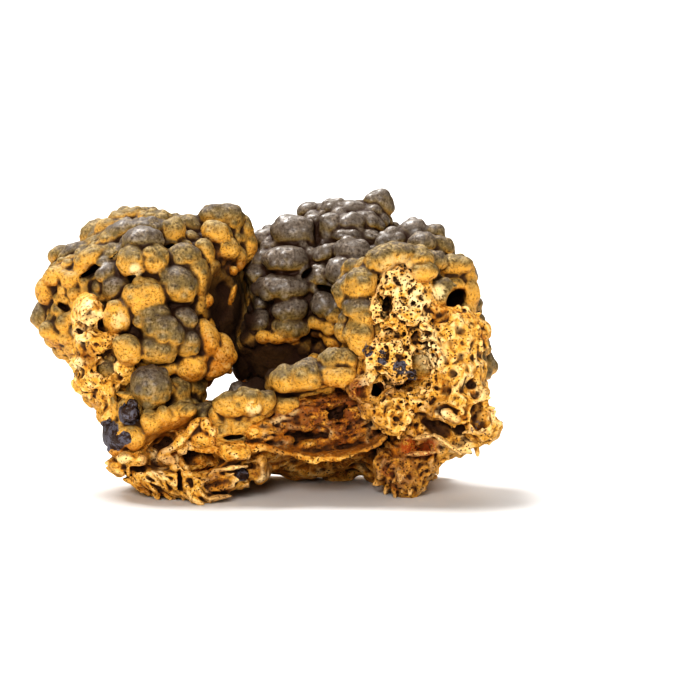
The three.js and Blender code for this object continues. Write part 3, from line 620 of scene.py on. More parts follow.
def middle_of(forms, across, up):
    """Depth of the middle of the form that is nearest to a point of the front view"""
    return min(forms, key=lambda form: math.hypot((across - form[0]) / form[3], (up - form[1]) / form[4]))[2]


def lobes_on(forms, rows):
    """The lobes of one list, each on the front of the forms that carry it, with their tints"""
    lobes = []
    for across, up, half_width, half_height, turn, lift, tint in rows:
        radius = math.sqrt(half_width * half_height)
        front = front_of(forms, across, up)
        if front is None:
            front = middle_of(forms, across, up)
        away = front + LOBE_INSET * radius - lift
        sizes = [half * LOBE_SWELL for half in (half_width, half_height, radius)]
        lobes.append(([across, up, away, *sizes, turn], tint))
    return lobes


def hidden_lobes_on(forms, others, tint):
    """Lobes over the side of a mass that the front view doesn't show, on a spiral over each form"""
    lobes = []
    for number, (cx, cy, cz, a, b, c, turn) in enumerate(forms):
        t = math.radians(turn)
        for i in range(HIDDEN_LOBES_PER_MASS):
            facing = 1 - (i + 0.5) / HIDDEN_LOBES_PER_MASS
            ring = math.sqrt(1 - facing * facing)
            angle = i * GOLDEN_ANGLE + number
            p = ring * math.cos(angle)
            q = ring * math.sin(angle)
            low, high = HIDDEN_LOBE_RADIUS
            radius = low + (high - low) * chance(i * 7 + number * 13 + cx)
            across = cx + a * p * math.cos(t) - b * q * math.sin(t)
            up = cy + a * p * math.sin(t) + b * q * math.cos(t)
            away = cz + c * facing
            place = (across, up, away)
            buried = any(
                other is not forms[number]
                and math.hypot(*((place[k] - other[k]) / other[k + 3] for k in range(3))) < BURIED_SHARE
                for other in [*forms, *others]
            )
            apart = all(
                math.dist(lobe[:3], place) > HIDDEN_LOBE_GAP * (lobe[3] + radius) for lobe, _ in lobes
            )
            if ring < 0.9 and not buried and apart:
                shade = tint + 0.4 * (chance(i * 3 + number) - 0.5)
                lobes.append(([*place, radius, radius, radius, 0], shade))
    return lobes


# Clay on a lattice


def smooth_min(a, b, width):
    """The lower of two fields, blended where they come within a width of each other"""
    mixed = np.clip(0.5 + 0.5 * (b - a) / width, 0, 1)
    return b + (a - b) * mixed - width * mixed * (1 - mixed)


def ramp(values, start, end):
    """0 at start, 1 at end, smooth between"""
    t = np.clip((values - start) / (end - start), 0, 1)
    return t * t * (3 - 2 * t)


def ellipsoid_distance(x, y, z, form):
    """About how far points are outside an ellipsoid"""
    across, up, away, a, b, c, turn = form
    t = math.radians(turn)
    dx = x - across
    dy = y - up
    p = dx * math.cos(t) + dy * math.sin(t)
    q = dy * math.cos(t) - dx * math.sin(t)
    r = z - away
    near = np.sqrt((p / a) ** 2 + (q / b) ** 2 + (r / c) ** 2)
    slope = np.sqrt((p / a**2) ** 2 + (q / b**2) ** 2 + (r / c**2) ** 2)
    return near * (near - 1) / np.maximum(slope, 1e-6)


def spline_weights(ticks, low, spacing, count):
    """How much each knot of a line of knots counts at each tick"""
    place = (ticks - low) / spacing + 1
    base = np.floor(place).astype(int)
    t = (place - base)[:, None]
    weights = np.concatenate(
        [(1 - t) ** 3, 3 * t**3 - 6 * t**2 + 4, -3 * t**3 + 3 * t**2 + 3 * t + 1, t**3], axis=1
    )
    table = np.zeros((len(ticks), count), np.float32)
    rows = np.arange(len(ticks))
    for step in range(4):
        table[rows, base - 1 + step] = weights[:, step] / 6
    return table


class Clay:
    """A block of space on a lattice: how far each point is outside the clay, and the clay's tint"""

    def __init__(self, forms, cell, room=2.6):
        low = np.min([[f[k] - max(f[3:6]) for k in range(3)] for f in forms], axis=0) - room
        high = np.max([[f[k] + max(f[3:6]) for k in range(3)] for f in forms], axis=0) + room
        low[1] = max(low[1], LOWEST)
        self.cell = cell
        self.low = np.floor(low / cell) * cell
        self.count = np.ceil((high - self.low) / cell).astype(int) + 1
        self.axes = [
            (self.low[k] + np.arange(self.count[k]) * cell).astype(np.float32) for k in range(3)
        ]
        self.distance = np.full(self.count, FAR, np.float32)
        self.tint = np.full(self.count, 0.5, np.float32)
        self.ragged = 0.55 * self.cloud(1.7, 91) + 0.3 * self.cloud(0.8, 92)

    def window(self, form, margin):
        """The part of the lattice round a form, and the coordinates there"""
        slices = []
        reach = max(form[3], form[4])
        for k, half in enumerate((reach, reach, form[5])):
            start = int((form[k] - half - margin - self.low[k]) / self.cell)
            stop = int((form[k] + half + margin - self.low[k]) / self.cell) + 2
            slices.append(slice(max(start, 0), min(max(stop, 0), self.count[k])))
        x, y, z = (self.axes[k][slices[k]] for k in range(3))
        return tuple(slices), (x[:, None, None], y[None, :, None], z[None, None, :])

    def add(self, form, blend, tint=None):
        """Joins a form to the clay, and tints it where it lies outermost"""
        where, points = self.window(form, 1.8)
        old = self.distance[where]
        if old.size == 0:
            return
        new = np.minimum(ellipsoid_distance(*points, form), FAR).astype(np.float32)
        if tint is not None:
            self.tint[where] = np.where(new < old, tint, self.tint[where])
        self.distance[where] = smooth_min(old, new, blend)

    def carve(self, form, blend, rough=0.0):
        """Takes a form out of the clay, with a ragged wall where rough is more than 0"""
        where, points = self.window(form, 0.6 + 1.5 * rough)
        old = self.distance[where]
        if old.size == 0:
            return
        new = ellipsoid_distance(*points, form).astype(np.float32) + rough * self.ragged[where]
        self.distance[where] = -smooth_min(-old, new, blend)

    def cloud(self, spacing, seed):
        """Smooth noise on the whole lattice, about -1 to 1, with a spacing for each axis"""
        spacing = (spacing,) * 3 if isinstance(spacing, (int, float)) else spacing
        knots = [int((high - low) / step) + 5 for (low, high), step in zip(SPACE, spacing)]
        values = np.random.default_rng(seed).uniform(-1.7, 1.7, knots).astype(np.float32)
        for k in range(3):
            weights = spline_weights(self.axes[k], SPACE[k][0], spacing[k], knots[k])
            values = np.moveaxis(np.tensordot(weights, values, axes=(1, k)), 0, k)
        return values

    def at(self, field, points):
        """A field's values at points of the front view, between the lattice's own"""
        place = (points - self.low) / self.cell
        base = np.clip(np.floor(place).astype(int), 0, self.count - 2)
        t = (place - base).astype(np.float32)
        total = np.zeros(len(points), np.float32)
        for corner in range(8):
            step = np.array([corner & 1, corner >> 1 & 1, corner >> 2 & 1])
            share = np.prod(np.where(step, t, 1 - t), axis=1)
            total += share * field[tuple((base + step).T)]
        return total

    def break_off(self, level, rough, seed):
        """Breaks away all that is nearer than a rough plane across the front"""
        x, y, z = self.axes
        plane = level + rough * self.cloud((3.2, 3.2, 30.0), seed) + 0.4 * rough * self.cloud(1.1, seed + 1)
        self.distance = np.maximum(self.distance, plane - z[None, None, :])

    def normals(self, points):
        """Directions out of the clay"""
        steps = 0.3 * np.eye(3)
        slopes = [self.at(self.distance, points + s) - self.at(self.distance, points - s) for s in steps]
        out = np.stack(slopes, axis=1)
        return out / np.maximum(np.linalg.norm(out, axis=1, keepdims=True), 1e-6)

    def nook(self, reach):
        """How much of the space within reach is clay: half on a flat face, more in a crevice"""
        solid = np.clip(0.5 - self.distance / (2 * self.cell), 0, 1)
        steps = max(1, round(reach / self.cell))
        for axis in range(3):
            margins = [(steps + 1, steps) if k == axis else (0, 0) for k in range(3)]
            padded = np.pad(solid, margins, mode="edge")
            sums = np.cumsum(padded, axis=axis, dtype=np.float64)
            ends = [slice(None)] * 3
            starts = [slice(None)] * 3
            ends[axis] = slice(2 * steps + 1, None)
            starts[axis] = slice(None, -(2 * steps + 1))
            solid = ((sums[tuple(ends)] - sums[tuple(starts)]) / (2 * steps + 1)).astype(np.float32)
        return solid

    def stand(self):
        """Cuts the clay flat on the surface that it stands on"""
        x, y, z = self.axes
        spread = 1 + z[None, :] / EYE_DISTANCE
        up = (y[:, None] - EYE_UP) * spread
        height = EYE_LINE_HEIGHT + up * math.cos(EYE_ELEVATION) - z[None, :] * math.sin(EYE_ELEVATION)
        self.distance = np.maximum(self.distance, -height[None, :, :].astype(np.float32))

    def skin(self):
        """Points and four-sided faces of the clay's surface"""
        d = self.distance
        for axis in range(3):
            for end in (0, -1):
                face = [slice(None)] * 3
                face[axis] = end
                d[tuple(face)] = np.maximum(d[tuple(face)], 0.5 * self.cell)
        inside = d < 0
        full = np.zeros(self.count - 1, np.int8)
        corners = [np.array([c & 1, c >> 1 & 1, c >> 2 & 1]) for c in range(8)]
        for corner in corners:
            full += inside[tuple(slice(s, n - 1 + s) for s, n in zip(corner, self.count))]
        cells = np.argwhere((full > 0) & (full < 8))
        number = np.full(self.count - 1, -1, np.int64)
        number[tuple(cells.T)] = np.arange(len(cells))
        total = np.zeros((len(cells), 3))
        hits = np.zeros(len(cells))
        for axis in range(3):
            step = np.eye(3, dtype=int)[axis]
            for corner in corners:
                if corner[axis]:
                    continue
                one = d[tuple((cells + corner).T)]
                two = d[tuple((cells + corner + step).T)]
                crossed = (one < 0) != (two < 0)
                part = one[crossed] / (one[crossed] - two[crossed])
                total[crossed] += corner + step * part[:, None]
                hits[crossed] += 1
        points = self.low + (cells + total / hits[:, None]) * self.cell
        faces = []
        for axis in range(3):
            step = np.eye(3, dtype=int)[axis]
            start = inside[tuple(slice(0, n - s) for s, n in zip(step, self.count))]
            end = inside[tuple(slice(s, n) for s, n in zip(step, self.count))]
            edges = np.argwhere(start != end)
            out = start[tuple(edges.T)]
            one, two = (np.eye(3, dtype=int)[(axis + k) % 3] for k in (1, 2))
            ring = [number[tuple((edges - back).T)] for back in (0 * one, one, one + two, two)]
            quads = np.stack(ring, axis=1)
            quads[~out] = quads[~out][:, ::-1]
            faces.append(quads)
        return points, np.concatenate(faces)


def largest_part(points, faces):
    """Only the biggest connected surface"""
    label = np.arange(len(points))
    edges = np.concatenate([faces[:, [0, 1]], faces[:, [1, 2]], faces[:, [2, 3]]])
    while True:
        low = np.minimum(label[edges[:, 0]], label[edges[:, 1]])
        before = label.copy()
        np.minimum.at(label, edges[:, 0], low)
        np.minimum.at(label, edges[:, 1], low)
        label = label[label]
        if np.array_equal(before, label):
            break
    names, sizes = np.unique(label, return_counts=True)
    keep = label == names[np.argmax(sizes)]
    order = np.cumsum(keep) - 1
    return points[keep], order[faces[keep[faces[:, 0]]]]


def paint_marks(points, normals, marks):
    """Strength of a list of round marks at points that face the front"""
    strength = np.zeros(len(points), np.float32)
    facing = ramp(-normals[:, 2], -0.5, 0.1)
    for across, up, radius, most in marks:
        away = np.hypot(points[:, 0] - across, points[:, 1] - up) / radius
        strength = np.maximum(strength, most * facing * (1 - ramp(away, 0.55, 1.25)))
    front = ramp(-points[:, 2], -4, 0)
    return strength * front


def paint_wall_shade(points):
    """How deep points lie in the walls in shade, which the crust's material paints dark as shade"""
    depth = np.max([-ellipsoid_distance(*points.T, form) for form in [*SHADED_WALLS, *BARE]], axis=0)
    return ramp(depth, -1.2, 0.4) * (1 - 0.3 * ramp(points[:, 1], 26, 33))


def make_piece(name, clay, material, cream=0.0):
    """A mesh piece from clay, with the numbers that its material reads"""
    clay.stand()
    points, faces = largest_part(*clay.skin())
    placed = from_view(points)
    faces = faces[:, ::-1]
    mesh = bpy.data.meshes.new(name)
    mesh.vertices.add(len(points))
    mesh.vertices.foreach_set("co", (placed * MM).astype(np.float32).ravel())
    mesh.loops.add(faces.size)
    mesh.loops.foreach_set("vertex_index", faces.astype(np.int32).ravel())
    mesh.polygons.add(len(faces))
    mesh.polygons.foreach_set("loop_start", np.arange(0, faces.size, 4, dtype=np.int32))
    mesh.polygons.foreach_set("use_smooth", np.ones(len(faces), bool))
    mesh.update(calc_edges=True)
    normals = np.empty(len(points) * 3, np.float32)
    mesh.vertices.foreach_get("normal", normals)
    normals = normals.reshape(-1, 3)
    seen = normals[:, [0, 2, 1]]
    # pit, nook and deep say how enclosed the skin is and upward which way it faces; the materials paint shade
    # from them, and wall marks the walls in shade that are painted dark as shade
    numbers = {
        "tint": clay.at(clay.tint, points),
        "pit": clay.at(clay.nook(0.3), points),
        "nook": clay.at(clay.nook(0.7), points),
        "deep": clay.at(clay.nook(2.2), points),
        "upward": normals[:, 2],
        "cream": np.maximum(paint_marks(points, seen, CREAM_MARKS), cream),
        "rust": paint_marks(points, seen, RUST_MARKS),
        "red": paint_marks(points, seen, RED_MARKS),
        "slate": paint_marks(points, seen, SLATE_MARKS),
        "porous": ramp(ellipsoid_distance(*points.T, SPONGY_ZONE), 1.5, -1.5),
        "wall": paint_wall_shade(points) * (clay.at(clay.tint, points) < 0.85),
    }
    for label, values in numbers.items():
        stored = mesh.attributes.new(label, "FLOAT", "POINT")
        stored.data.foreach_set("value", np.ascontiguousarray(values, np.float32))
    mesh.materials.append(material)
    piece = bpy.data.objects.new(name, mesh)
    bpy.context.scene.collection.objects.link(piece)
    thin(piece, MOST_TRIANGLES)
    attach(piece, "root")
    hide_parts(NODE)
    return piece


def settle(piece):
    """Turns a piece and its modifiers into one plain mesh"""
    graph = bpy.context.evaluated_depsgraph_get()
    mesh = bpy.data.meshes.new_from_object(piece.evaluated_get(graph), depsgraph=graph)
    old = piece.data
    piece.modifiers.clear()
    piece.data = mesh
    bpy.data.meshes.remove(old)
    mesh.name = piece.name


def thin(piece, most):
    """Draws a piece's least needed edges together until it has at most so many triangles"""
    triangles = sum(len(face.vertices) - 2 for face in piece.data.polygons)
    if triangles > most:
        modifier = piece.modifiers.new("Thin", "DECIMATE")
        modifier.ratio = most / triangles
        settle(piece)
        unfold(piece.data)


def unfold(mesh):
    """Takes out pairs of faces that lie back to back on the same points"""
    shape = bmesh.new()
    shape.from_mesh(mesh)
    same = {}
    for face in shape.faces:
        same.setdefault(frozenset(face.verts), []).append(face)
    flaps = [face for faces in same.values() if len(faces) > 1 for face in faces]
    bmesh.ops.delete(shape, geom=flaps, context="FACES")
    shape.to_mesh(mesh)
    shape.free()


# Materials


class Tone:
    """One output of a material's node tree, so that sums and products of them read as arithmetic"""

    def __init__(self, paint, socket):
        self.paint = paint
        self.socket = socket

    def __add__(self, other):
        return self.paint.maths("ADD", self, other)

    def __sub__(self, other):
        return self.paint.maths("SUBTRACT", self, other)

    def __mul__(self, other):
        return self.paint.maths("MULTIPLY", self, other)

    def __rsub__(self, other):
        return self.paint.maths("SUBTRACT", other, self)

    __radd__ = __add__
    __rmul__ = __mul__


class Paint:
    """A material under construction"""

    def __init__(self, name):
        self.material = bpy.data.materials.new(name)
        self.material.use_nodes = True
        self.tree = self.material.node_tree
        self.tree.nodes.clear()
        self.place = self.node("ShaderNodeTexCoord", output="Object")

    def node(self, kind, settings=(), inputs=(), output=0):
        """Adds a node, sets its options, feeds its inputs and gives back one of its outputs"""
        made = self.tree.nodes.new(kind)
        for name, value in dict(settings).items():
            setattr(made, name, value)
        for name, value in dict(inputs).items():
            if isinstance(value, Tone):
                self.tree.links.new(value.socket, made.inputs[name])
            else:
                made.inputs[name].default_value = value
        return Tone(self, made.outputs[output]) if made.outputs else None

    def maths(self, operation, one, two):
        """One sum, difference or product of values"""
        return self.node("ShaderNodeMath", {"operation": operation}, {0: one, 1: two})

    def number(self, name):
        """A number stored on the piece's skin"""
        return self.node("ShaderNodeAttribute", {"attribute_name": name}, output="Fac")

    def noise(self, size, detail=3.0, roughness=0.55):
        """Noise with lumps of a size in millimetres"""
        inputs = {"Vector": self.place, "Scale": 1 / (size * MM), "Detail": detail, "Roughness": roughness}
        return self.node("ShaderNodeTexNoise", inputs=inputs)

    def pits(self, size):
        """Distance to the nearest of many scattered points, their spacing in millimetres"""
        inputs = {"Vector": self.place, "Scale": 1 / (size * MM)}
        return self.node("ShaderNodeTexVoronoi", inputs=inputs, output="Distance")

    def step(self, value, start, end):
        """0 at start, 1 at end, smooth between"""
        inputs = {"Value": value, "From Min": start, "From Max": end, "To Min": 0.0, "To Max": 1.0}
        return self.node("ShaderNodeMapRange", {"interpolation_type": "SMOOTHSTEP"}, inputs)

    def mix(self, share, one, two):
        """Two colours mixed"""
        return self.node("ShaderNodeMix", {"data_type": "RGBA"}, {0: share, 6: one, 7: two}, output=2)

    def relief(self, height, depth):
        """Fine relief, its depth in millimetres"""
        inputs = {"Height": height, "Distance": depth * MM, "Strength": 1.0}
        return self.node("ShaderNodeBump", inputs=inputs, output="Normal")

    def finish(self, colour, roughness, normal, specular=0.4, gloss=0.0):
        """The material itself; its gloss is a thin coat"""
        shader = self.tree.nodes.new("ShaderNodeBsdfPrincipled")
        shader.inputs["Specular IOR Level"].default_value = specular
        shader.inputs["Coat Roughness"].default_value = COAT_ROUGHNESS
        named = {"Base Color": colour, "Roughness": roughness, "Normal": normal, "Coat Weight": gloss}
        for name, value in named.items():
            if isinstance(value, Tone):
                self.tree.links.new(value.socket, shader.inputs[name])
            else:
                shader.inputs[name].default_value = value
        self.tree.links.new(shader.outputs[0], self.tree.nodes.new("ShaderNodeOutputMaterial").inputs[0])
        return self.material


def opaque(colour):
    """A colour with full cover"""
    return (*colour, 1.0)


def slate_over(paint, look, colour, patch, grain):
    """A colour with dark slate grains where the skin says so"""
    slate = paint.step(paint.number("slate") + (patch - 0.5) * 1.2 + (grain - 0.5) * 0.8, 0.45, 0.52)
    stone = paint.mix(paint.step(grain + (patch - 0.5), 0.45, 0.6), opaque(look.crevice), opaque(look.slate))
    return paint.mix(slate, colour, stone)


def crust_finish(look):
    """Dusty rounded lobes: grey, olive or ochre by tint, paler dust above, warmer ochre below and dark brown
    in nooks and on walls in shade, both painted shade; pale powder that is partly a painted highlight
    """
    paint = Paint("botryoidal crust")
    broad = paint.noise(5.0)
    patch = paint.noise(1.3, 4.0)
    grain = paint.noise(0.4, 4.0, 0.7)
    speck = paint.pits(0.34)
    upward = paint.number("upward")
    nook = paint.number("nook")
    deep = paint.number("deep")
    tint = paint.number("tint")
    # Tint and random tone give each lobe its own grey, olive or ochre; undersides and nooks are pushed to
    # warmer, darker ochre and orange as painted shade
    warmth_and_shade = tint + (patch - 0.5) * 0.35 + (broad - 0.5) * 0.5 - upward * 0.42 + (nook - 0.42) * 0.9
    colour = paint.mix(paint.step(warmth_and_shade, -0.05, 0.35), opaque(look.grey), opaque(look.olive))
    colour = paint.mix(paint.step(warmth_and_shade, 0.25, 0.75), colour, opaque(look.ochre))
    colour = paint.mix(paint.step(warmth_and_shade, 0.75, 1.15), colour, opaque(look.orange))
    dust = paint.step(upward + (patch - 0.5) * 1.2, 0.3, 1.2) * paint.step(nook, 0.5, 0.38)
    colour = paint.mix(dust * paint.step(tint, 0.25, 0.7) * 0.6, colour, opaque(look.dust))
    # Pale powder in specks: partly dust, partly a painted highlight that brightens the grey lobes
    powder_and_highlight = paint.mix(paint.step(tint, 0.15, 0.5), opaque(look.ash_and_highlight), opaque(look.dust))
    pale = paint.step(grain + (patch - 0.5) * 0.5, 0.5, 0.64) * (paint.step(tint, 0.15, 0.5) * 0.14 + 0.28)
    colour = paint.mix(pale, colour, powder_and_highlight)
    colour = paint.mix(paint.step(grain, 0.49, 0.36) * 0.62, colour, opaque(look.crevice))
    colour = paint.mix(paint.step(speck, 0.22, 0.05) * 0.4, colour, opaque(look.crevice))
    # Painted shade: dark brown in the creases between lobes and in deep hollows, by how enclosed the skin is
    crease_shade = paint.step(nook + (grain - 0.5) * 0.2, 0.49, 0.64)
    colour = paint.mix(crease_shade * 0.95, colour, opaque(look.crevice))
    colour = paint.mix(paint.step(deep, 0.55, 0.7) * 0.8, colour, opaque(look.crevice))
    # Painted shade: the walls that lie in shade under the lobes are painted dark brown
    wall = paint.number("wall")
    colour = paint.mix(wall * 0.95, colour, opaque(look.crevice))
    colour = slate_over(paint, look, colour, patch, grain)
    chipped = paint.number("cream") * paint.step(patch + (grain - 0.5) * 0.8, 0.38, 0.5)
    colour = paint.mix(chipped * 0.75, colour, opaque(look.cream))
    height = grain * 0.8 + patch * 0.8 - paint.step(speck, 0.25, 0.0) * 0.6
    normal = paint.relief(height * (paint.step(tint, 0.1, 0.5) * 0.6 + 0.4), 0.34)
    roughness = paint.step(patch, 0.2, 0.9) * 0.2 + 0.5 + wall * 0.3 + chipped * 0.2
    gloss = (1.0 - paint.step(tint, 0.1, 0.45)) * 0.65 + 0.05
    gloss = gloss * paint.step(nook, 0.52, 0.42) * paint.step(grain, 0.3, 0.5) * (1.0 - wall)
    return paint.finish(colour, roughness, normal, 0.3, gloss)


def matrix_finish(look):
    """Broken spongy matrix: pale ochre on its edges, orange lower down and in its hollows, dark brown in its
    pores; the orange in the hollows and the dark brown in its pits and nooks are painted shade
    """
    paint = Paint("ochre matrix")
    broad = paint.noise(4.0)
    patch = paint.noise(1.0, 4.0)
    grain = paint.noise(0.36, 4.0, 0.7)
    pore = paint.pits(0.42)
    porous = paint.number("porous")
    hole = pore - porous * 0.08 + (grain - 0.5) * 0.7
    nook = paint.number("nook")
    deep = paint.number("deep")
    pit = paint.number("pit")
    # Paler on the edges as fresh breaks; more orange and darker in the hollows, by how enclosed the skin is,
    # as painted shade
    fresh_edge_and_shade = paint.number("tint") + porous * 0.15 + (broad - 0.5) * 1.3
    fresh_edge_and_shade = fresh_edge_and_shade + (patch - 0.5) * 0.9 + (0.42 - nook) * 1.9
    colour = paint.mix(paint.step(fresh_edge_and_shade, 0.1, 0.5), opaque(look.orange), opaque(look.ochre))
    colour = paint.mix(paint.step(fresh_edge_and_shade, 0.6, 1.05), colour, opaque(look.pale))
    colour = paint.mix(paint.step(grain + (patch - 0.5) * 0.5, 0.5, 0.66) * 0.6, colour, opaque(look.pale))
    colour = paint.mix(paint.step(grain, 0.49, 0.32) * 0.75, colour, opaque(look.rust))
    rusty = paint.number("rust") * paint.step(patch + (grain - 0.5) * 1.1, 0.3, 0.55)
    colour = paint.mix(rusty, colour, opaque(look.rust))
    cream = paint.number("cream") + paint.step(broad, 0.55, 0.7) * 0.5
    colour = paint.mix(cream * paint.step(patch, 0.35, 0.55) * 0.8, colour, opaque(look.cream))
    pores = paint.step(hole, 0.28, 0.16) * paint.step(patch + porous * 0.2, 0.4, 0.55)
    colour = paint.mix(pores * 0.85, colour, opaque(look.pore))
    # Painted shade: dark brown in the pits, nooks and deep hollows, by how enclosed the skin is
    colour = paint.mix(paint.step(pit + (grain - 0.5) * 0.2, 0.5, 0.66) * 0.85, colour, opaque(look.pore))
    colour = paint.mix(paint.step(nook + (grain - 0.5) * 0.15, 0.5, 0.66) * 0.8, colour, opaque(look.pore))
    colour = paint.mix(paint.step(deep + (patch - 0.5) * 0.2, 0.56, 0.72) * 0.85, colour, opaque(look.pore))
    red = paint.number("red") * paint.step(patch + (grain - 0.5) * 1.2, 0.38, 0.55)
    colour = paint.mix(red, colour, opaque(look.red))
    colour = slate_over(paint, look, colour, patch, grain)
    height = grain * 0.5 + patch - paint.step(hole, 0.32, 0.0) * 1.3
    normal = paint.relief(height, 0.4)
    roughness = paint.step(grain, 0.2, 0.9) * 0.2 + 0.62
    return paint.finish(colour, roughness, normal, 0.3)


# Pieces


def crust_clay(masses, lobes, blend=LOBE_BLEND, also=()):
    """Masses that flow together, with lobes that stay apart, and small lobes in the bare places"""
    clay = Clay([*masses, *[form for form, _ in lobes]], CRUST_CELL)
    for form in masses:
        clay.add(form, FORM_BLEND, 0.4)
    clay.distance += 0.35 * clay.cloud(4.5, 3) + 0.25
    bare = small_lobes(clay, lobes, also)
    for form, tint in [*bare, *lobes]:
        clay.add(form, blend, tint)
    clay.distance += 0.1 - 0.2 * np.abs(clay.cloud(1.7, 5))
    blister(clay, (0.55, 1.25), 12)
    clay.distance += 0.03 * clay.cloud(0.6, 6)
    return clay


def scattered(clay, rng, most, radii, spacing):
    """Places on a clay's skin, each with a normal and a radius, none closer to another than spacing allows"""
    points, _ = clay.skin()
    points = points[rng.permutation(len(points))[:most]]
    normals = clay.normals(points)
    sizes = rng.uniform(*radii, len(points))
    taken = np.full((len(points), 4), 1e6)
    count = 0
    for point, normal, radius in zip(points, normals, sizes):
        near = taken[:count]
        gaps = np.linalg.norm(near[:, :3] - point, axis=1)
        if count and (gaps < spacing * (near[:, 3] + radius)).any():
            continue
        taken[count] = (*point, radius)
        count += 1
        yield point, normal, radius


def blister(clay, radii, seed):
    """Low blisters all over a clay's skin, with some bare skin between them"""
    rng = np.random.default_rng(seed)
    for point, normal, radius in scattered(clay, rng, 14000, radii, 0.8):
        if rng.random() < 0.75:
            sunk = point - normal * radius * rng.uniform(0.55, 0.8)
            clay.add([*sunk, radius, radius, radius, 0], 0.12)


def small_lobes(clay, lobes, also):
    """Lobes for the bare places of a mass, none closer to another than their sizes allow"""
    points, _ = clay.skin()
    rng = np.random.default_rng(11)
    points = points[rng.permutation(len(points))[:SKIN_SAMPLE]]
    centres = np.array([form[:3] for form, _ in lobes])
    radii = np.array([min(form[3], form[4]) for form, _ in lobes])
    tints = np.array([tint for _, tint in lobes])
    outside = np.full(len(points), 9.0)
    for form in also:
        outside = np.minimum(outside, ellipsoid_distance(*points.T, form))
    for form in BARE:
        outside = np.minimum(outside, ellipsoid_distance(*points.T, form) - 0.6)
    chosen = outside > -0.6
    made = []
    for point, normal in zip(points[chosen], clay.normals(points[chosen])):
        radius = 0.8 + 0.8 * rng.random()
        if normal[2] < -0.1:
            radius *= 0.8
        point = point - 0.4 * radius * normal
        gaps = np.linalg.norm(centres - point, axis=1) - 0.7 * (radii + radius)
        if gaps.min() < 0:
            continue
        near = np.argsort(gaps)[:3]
        tint = float(tints[near].mean() + 0.25 * (rng.random() - 0.5))
        shape = [radius * LOBE_SWELL * (0.85 + 0.35 * rng.random()) for _ in range(3)]
        made.append(([*point, *shape, 180 * rng.random()], tint))
        centres = np.vstack([centres, point])
        radii = np.append(radii, radius)
        tints = np.append(tints, tint)
    return made


def crag_clay(forms, cell, layered=0.0):
    """Broken forms with crags and layers"""
    clay = Clay(forms, cell)
    for form in forms:
        clay.add(form, 0.7, 0.6)
    clay.distance += 0.5 * clay.cloud(2.6, 21) - 0.5 * np.abs(clay.cloud(1.5, 22)) + 0.25
    clay.distance += layered * clay.cloud((3.0, 0.75, 3.0), 23)
    return clay


def scoop(clay, radii, depth, spacing, seed):
    """Scoops out of a clay's skin that leave sharp edges between them: as deep as a share of their radius"""
    rng = np.random.default_rng(seed)
    for point, normal, radius in scattered(clay, rng, 12000, radii, spacing):
        share = depth * rng.uniform(0.7, 1.3)
        shape = radius * rng.uniform(0.75, 1.25, 3)
        clay.carve([*(point + normal * radius * (1 - share)), *shape, 180 * rng.random()], 0.06)


def riddle(clay, spacing, depth, level, seed, zone=None):
    """Eats ragged pits into a clay's skin, all over or in one zone"""
    pits = depth * ramp(clay.cloud(spacing, seed), level, level + 0.35)
    if zone is not None:
        x, y, z = np.meshgrid(*clay.axes, indexing="ij", sparse=True)
        pits *= ramp(ellipsoid_distance(x, y, z, zone), 1.2, -1.2)
    clay.distance += pits.astype(np.float32)


def add_forms(clay, rows, blend):
    """Forms, each with its own tint"""
    for *form, tint in rows:
        clay.add(form, blend, tint)


def add_flakes(clay, zones, seed, tint=0.6):
    """Thin flakes on a clay's skin, most of them seen edge-on"""
    points, _ = clay.skin()
    rng = np.random.default_rng(seed)
    for *zone, turn, sway, length, count in zones:
        inside = points[(((points - zone[:3]) / zone[3:6]) ** 2).sum(axis=1) < 1]
        for point in inside[rng.permutation(len(inside))[:count]]:
            size = length * rng.uniform(0.5, 1.1)
            point = point + (0, 0, 0.35 * size)
            shape = [size, rng.uniform(0.25, 0.5), size * rng.uniform(0.6, 1)]
            shade = tint + 0.5 * (rng.random() - 0.5)
            clay.add([*point, *shape, turn + sway * rng.normal()], 0.2, shade)


def hollow(clay, but=()):
    """Takes the caves, pockets, crevices and the gap out of the clay"""
    for number, form in enumerate(HOLLOWS):
        if number not in but:
            clay.carve(form, HOLLOW_BLEND, 0.8)
    for form in CREVICES:
        clay.carve(form, 0.5, 0.8)


def add_ledge(clay):
    """The thin shell that hangs below the broken wall"""
    edge = np.array(LEDGE_EDGE, float)
    x, y, z = clay.axes
    front = np.interp(x, edge[:, 0], edge[:, 2])[:, None, None]
    height = np.interp(x, edge[:, 0], edge[:, 1])[:, None, None]
    back = z[None, None, :] - front
    middle = height + LEDGE_RISE * np.clip(back, 0, LEDGE_DEPTH) / LEDGE_DEPTH
    thick = np.abs(y[None, :, None] - middle) - LEDGE_THICKNESS / 2
    ends = np.maximum(edge[0, 0] - x, x - edge[-1, 0])[:, None, None]
    slab = np.maximum(np.maximum(thick, -back), np.maximum(back - LEDGE_DEPTH, ends))
    slab = slab + 0.3 * clay.cloud(2.0, 31) + 0.15 * clay.cloud(0.8, 32)
    clay.tint = np.where(slab < clay.distance, 0.1, clay.tint)
    clay.distance = smooth_min(clay.distance, slab.astype(np.float32), 0.4)


def finishes():
    """The two finishes, made once"""
    looks = bpy.context.scene.specimen_look
    crust = bpy.data.materials.get("botryoidal crust") or crust_finish(looks)
    matrix = bpy.data.materials.get("ochre matrix") or matrix_finish(looks)
    return crust, matrix


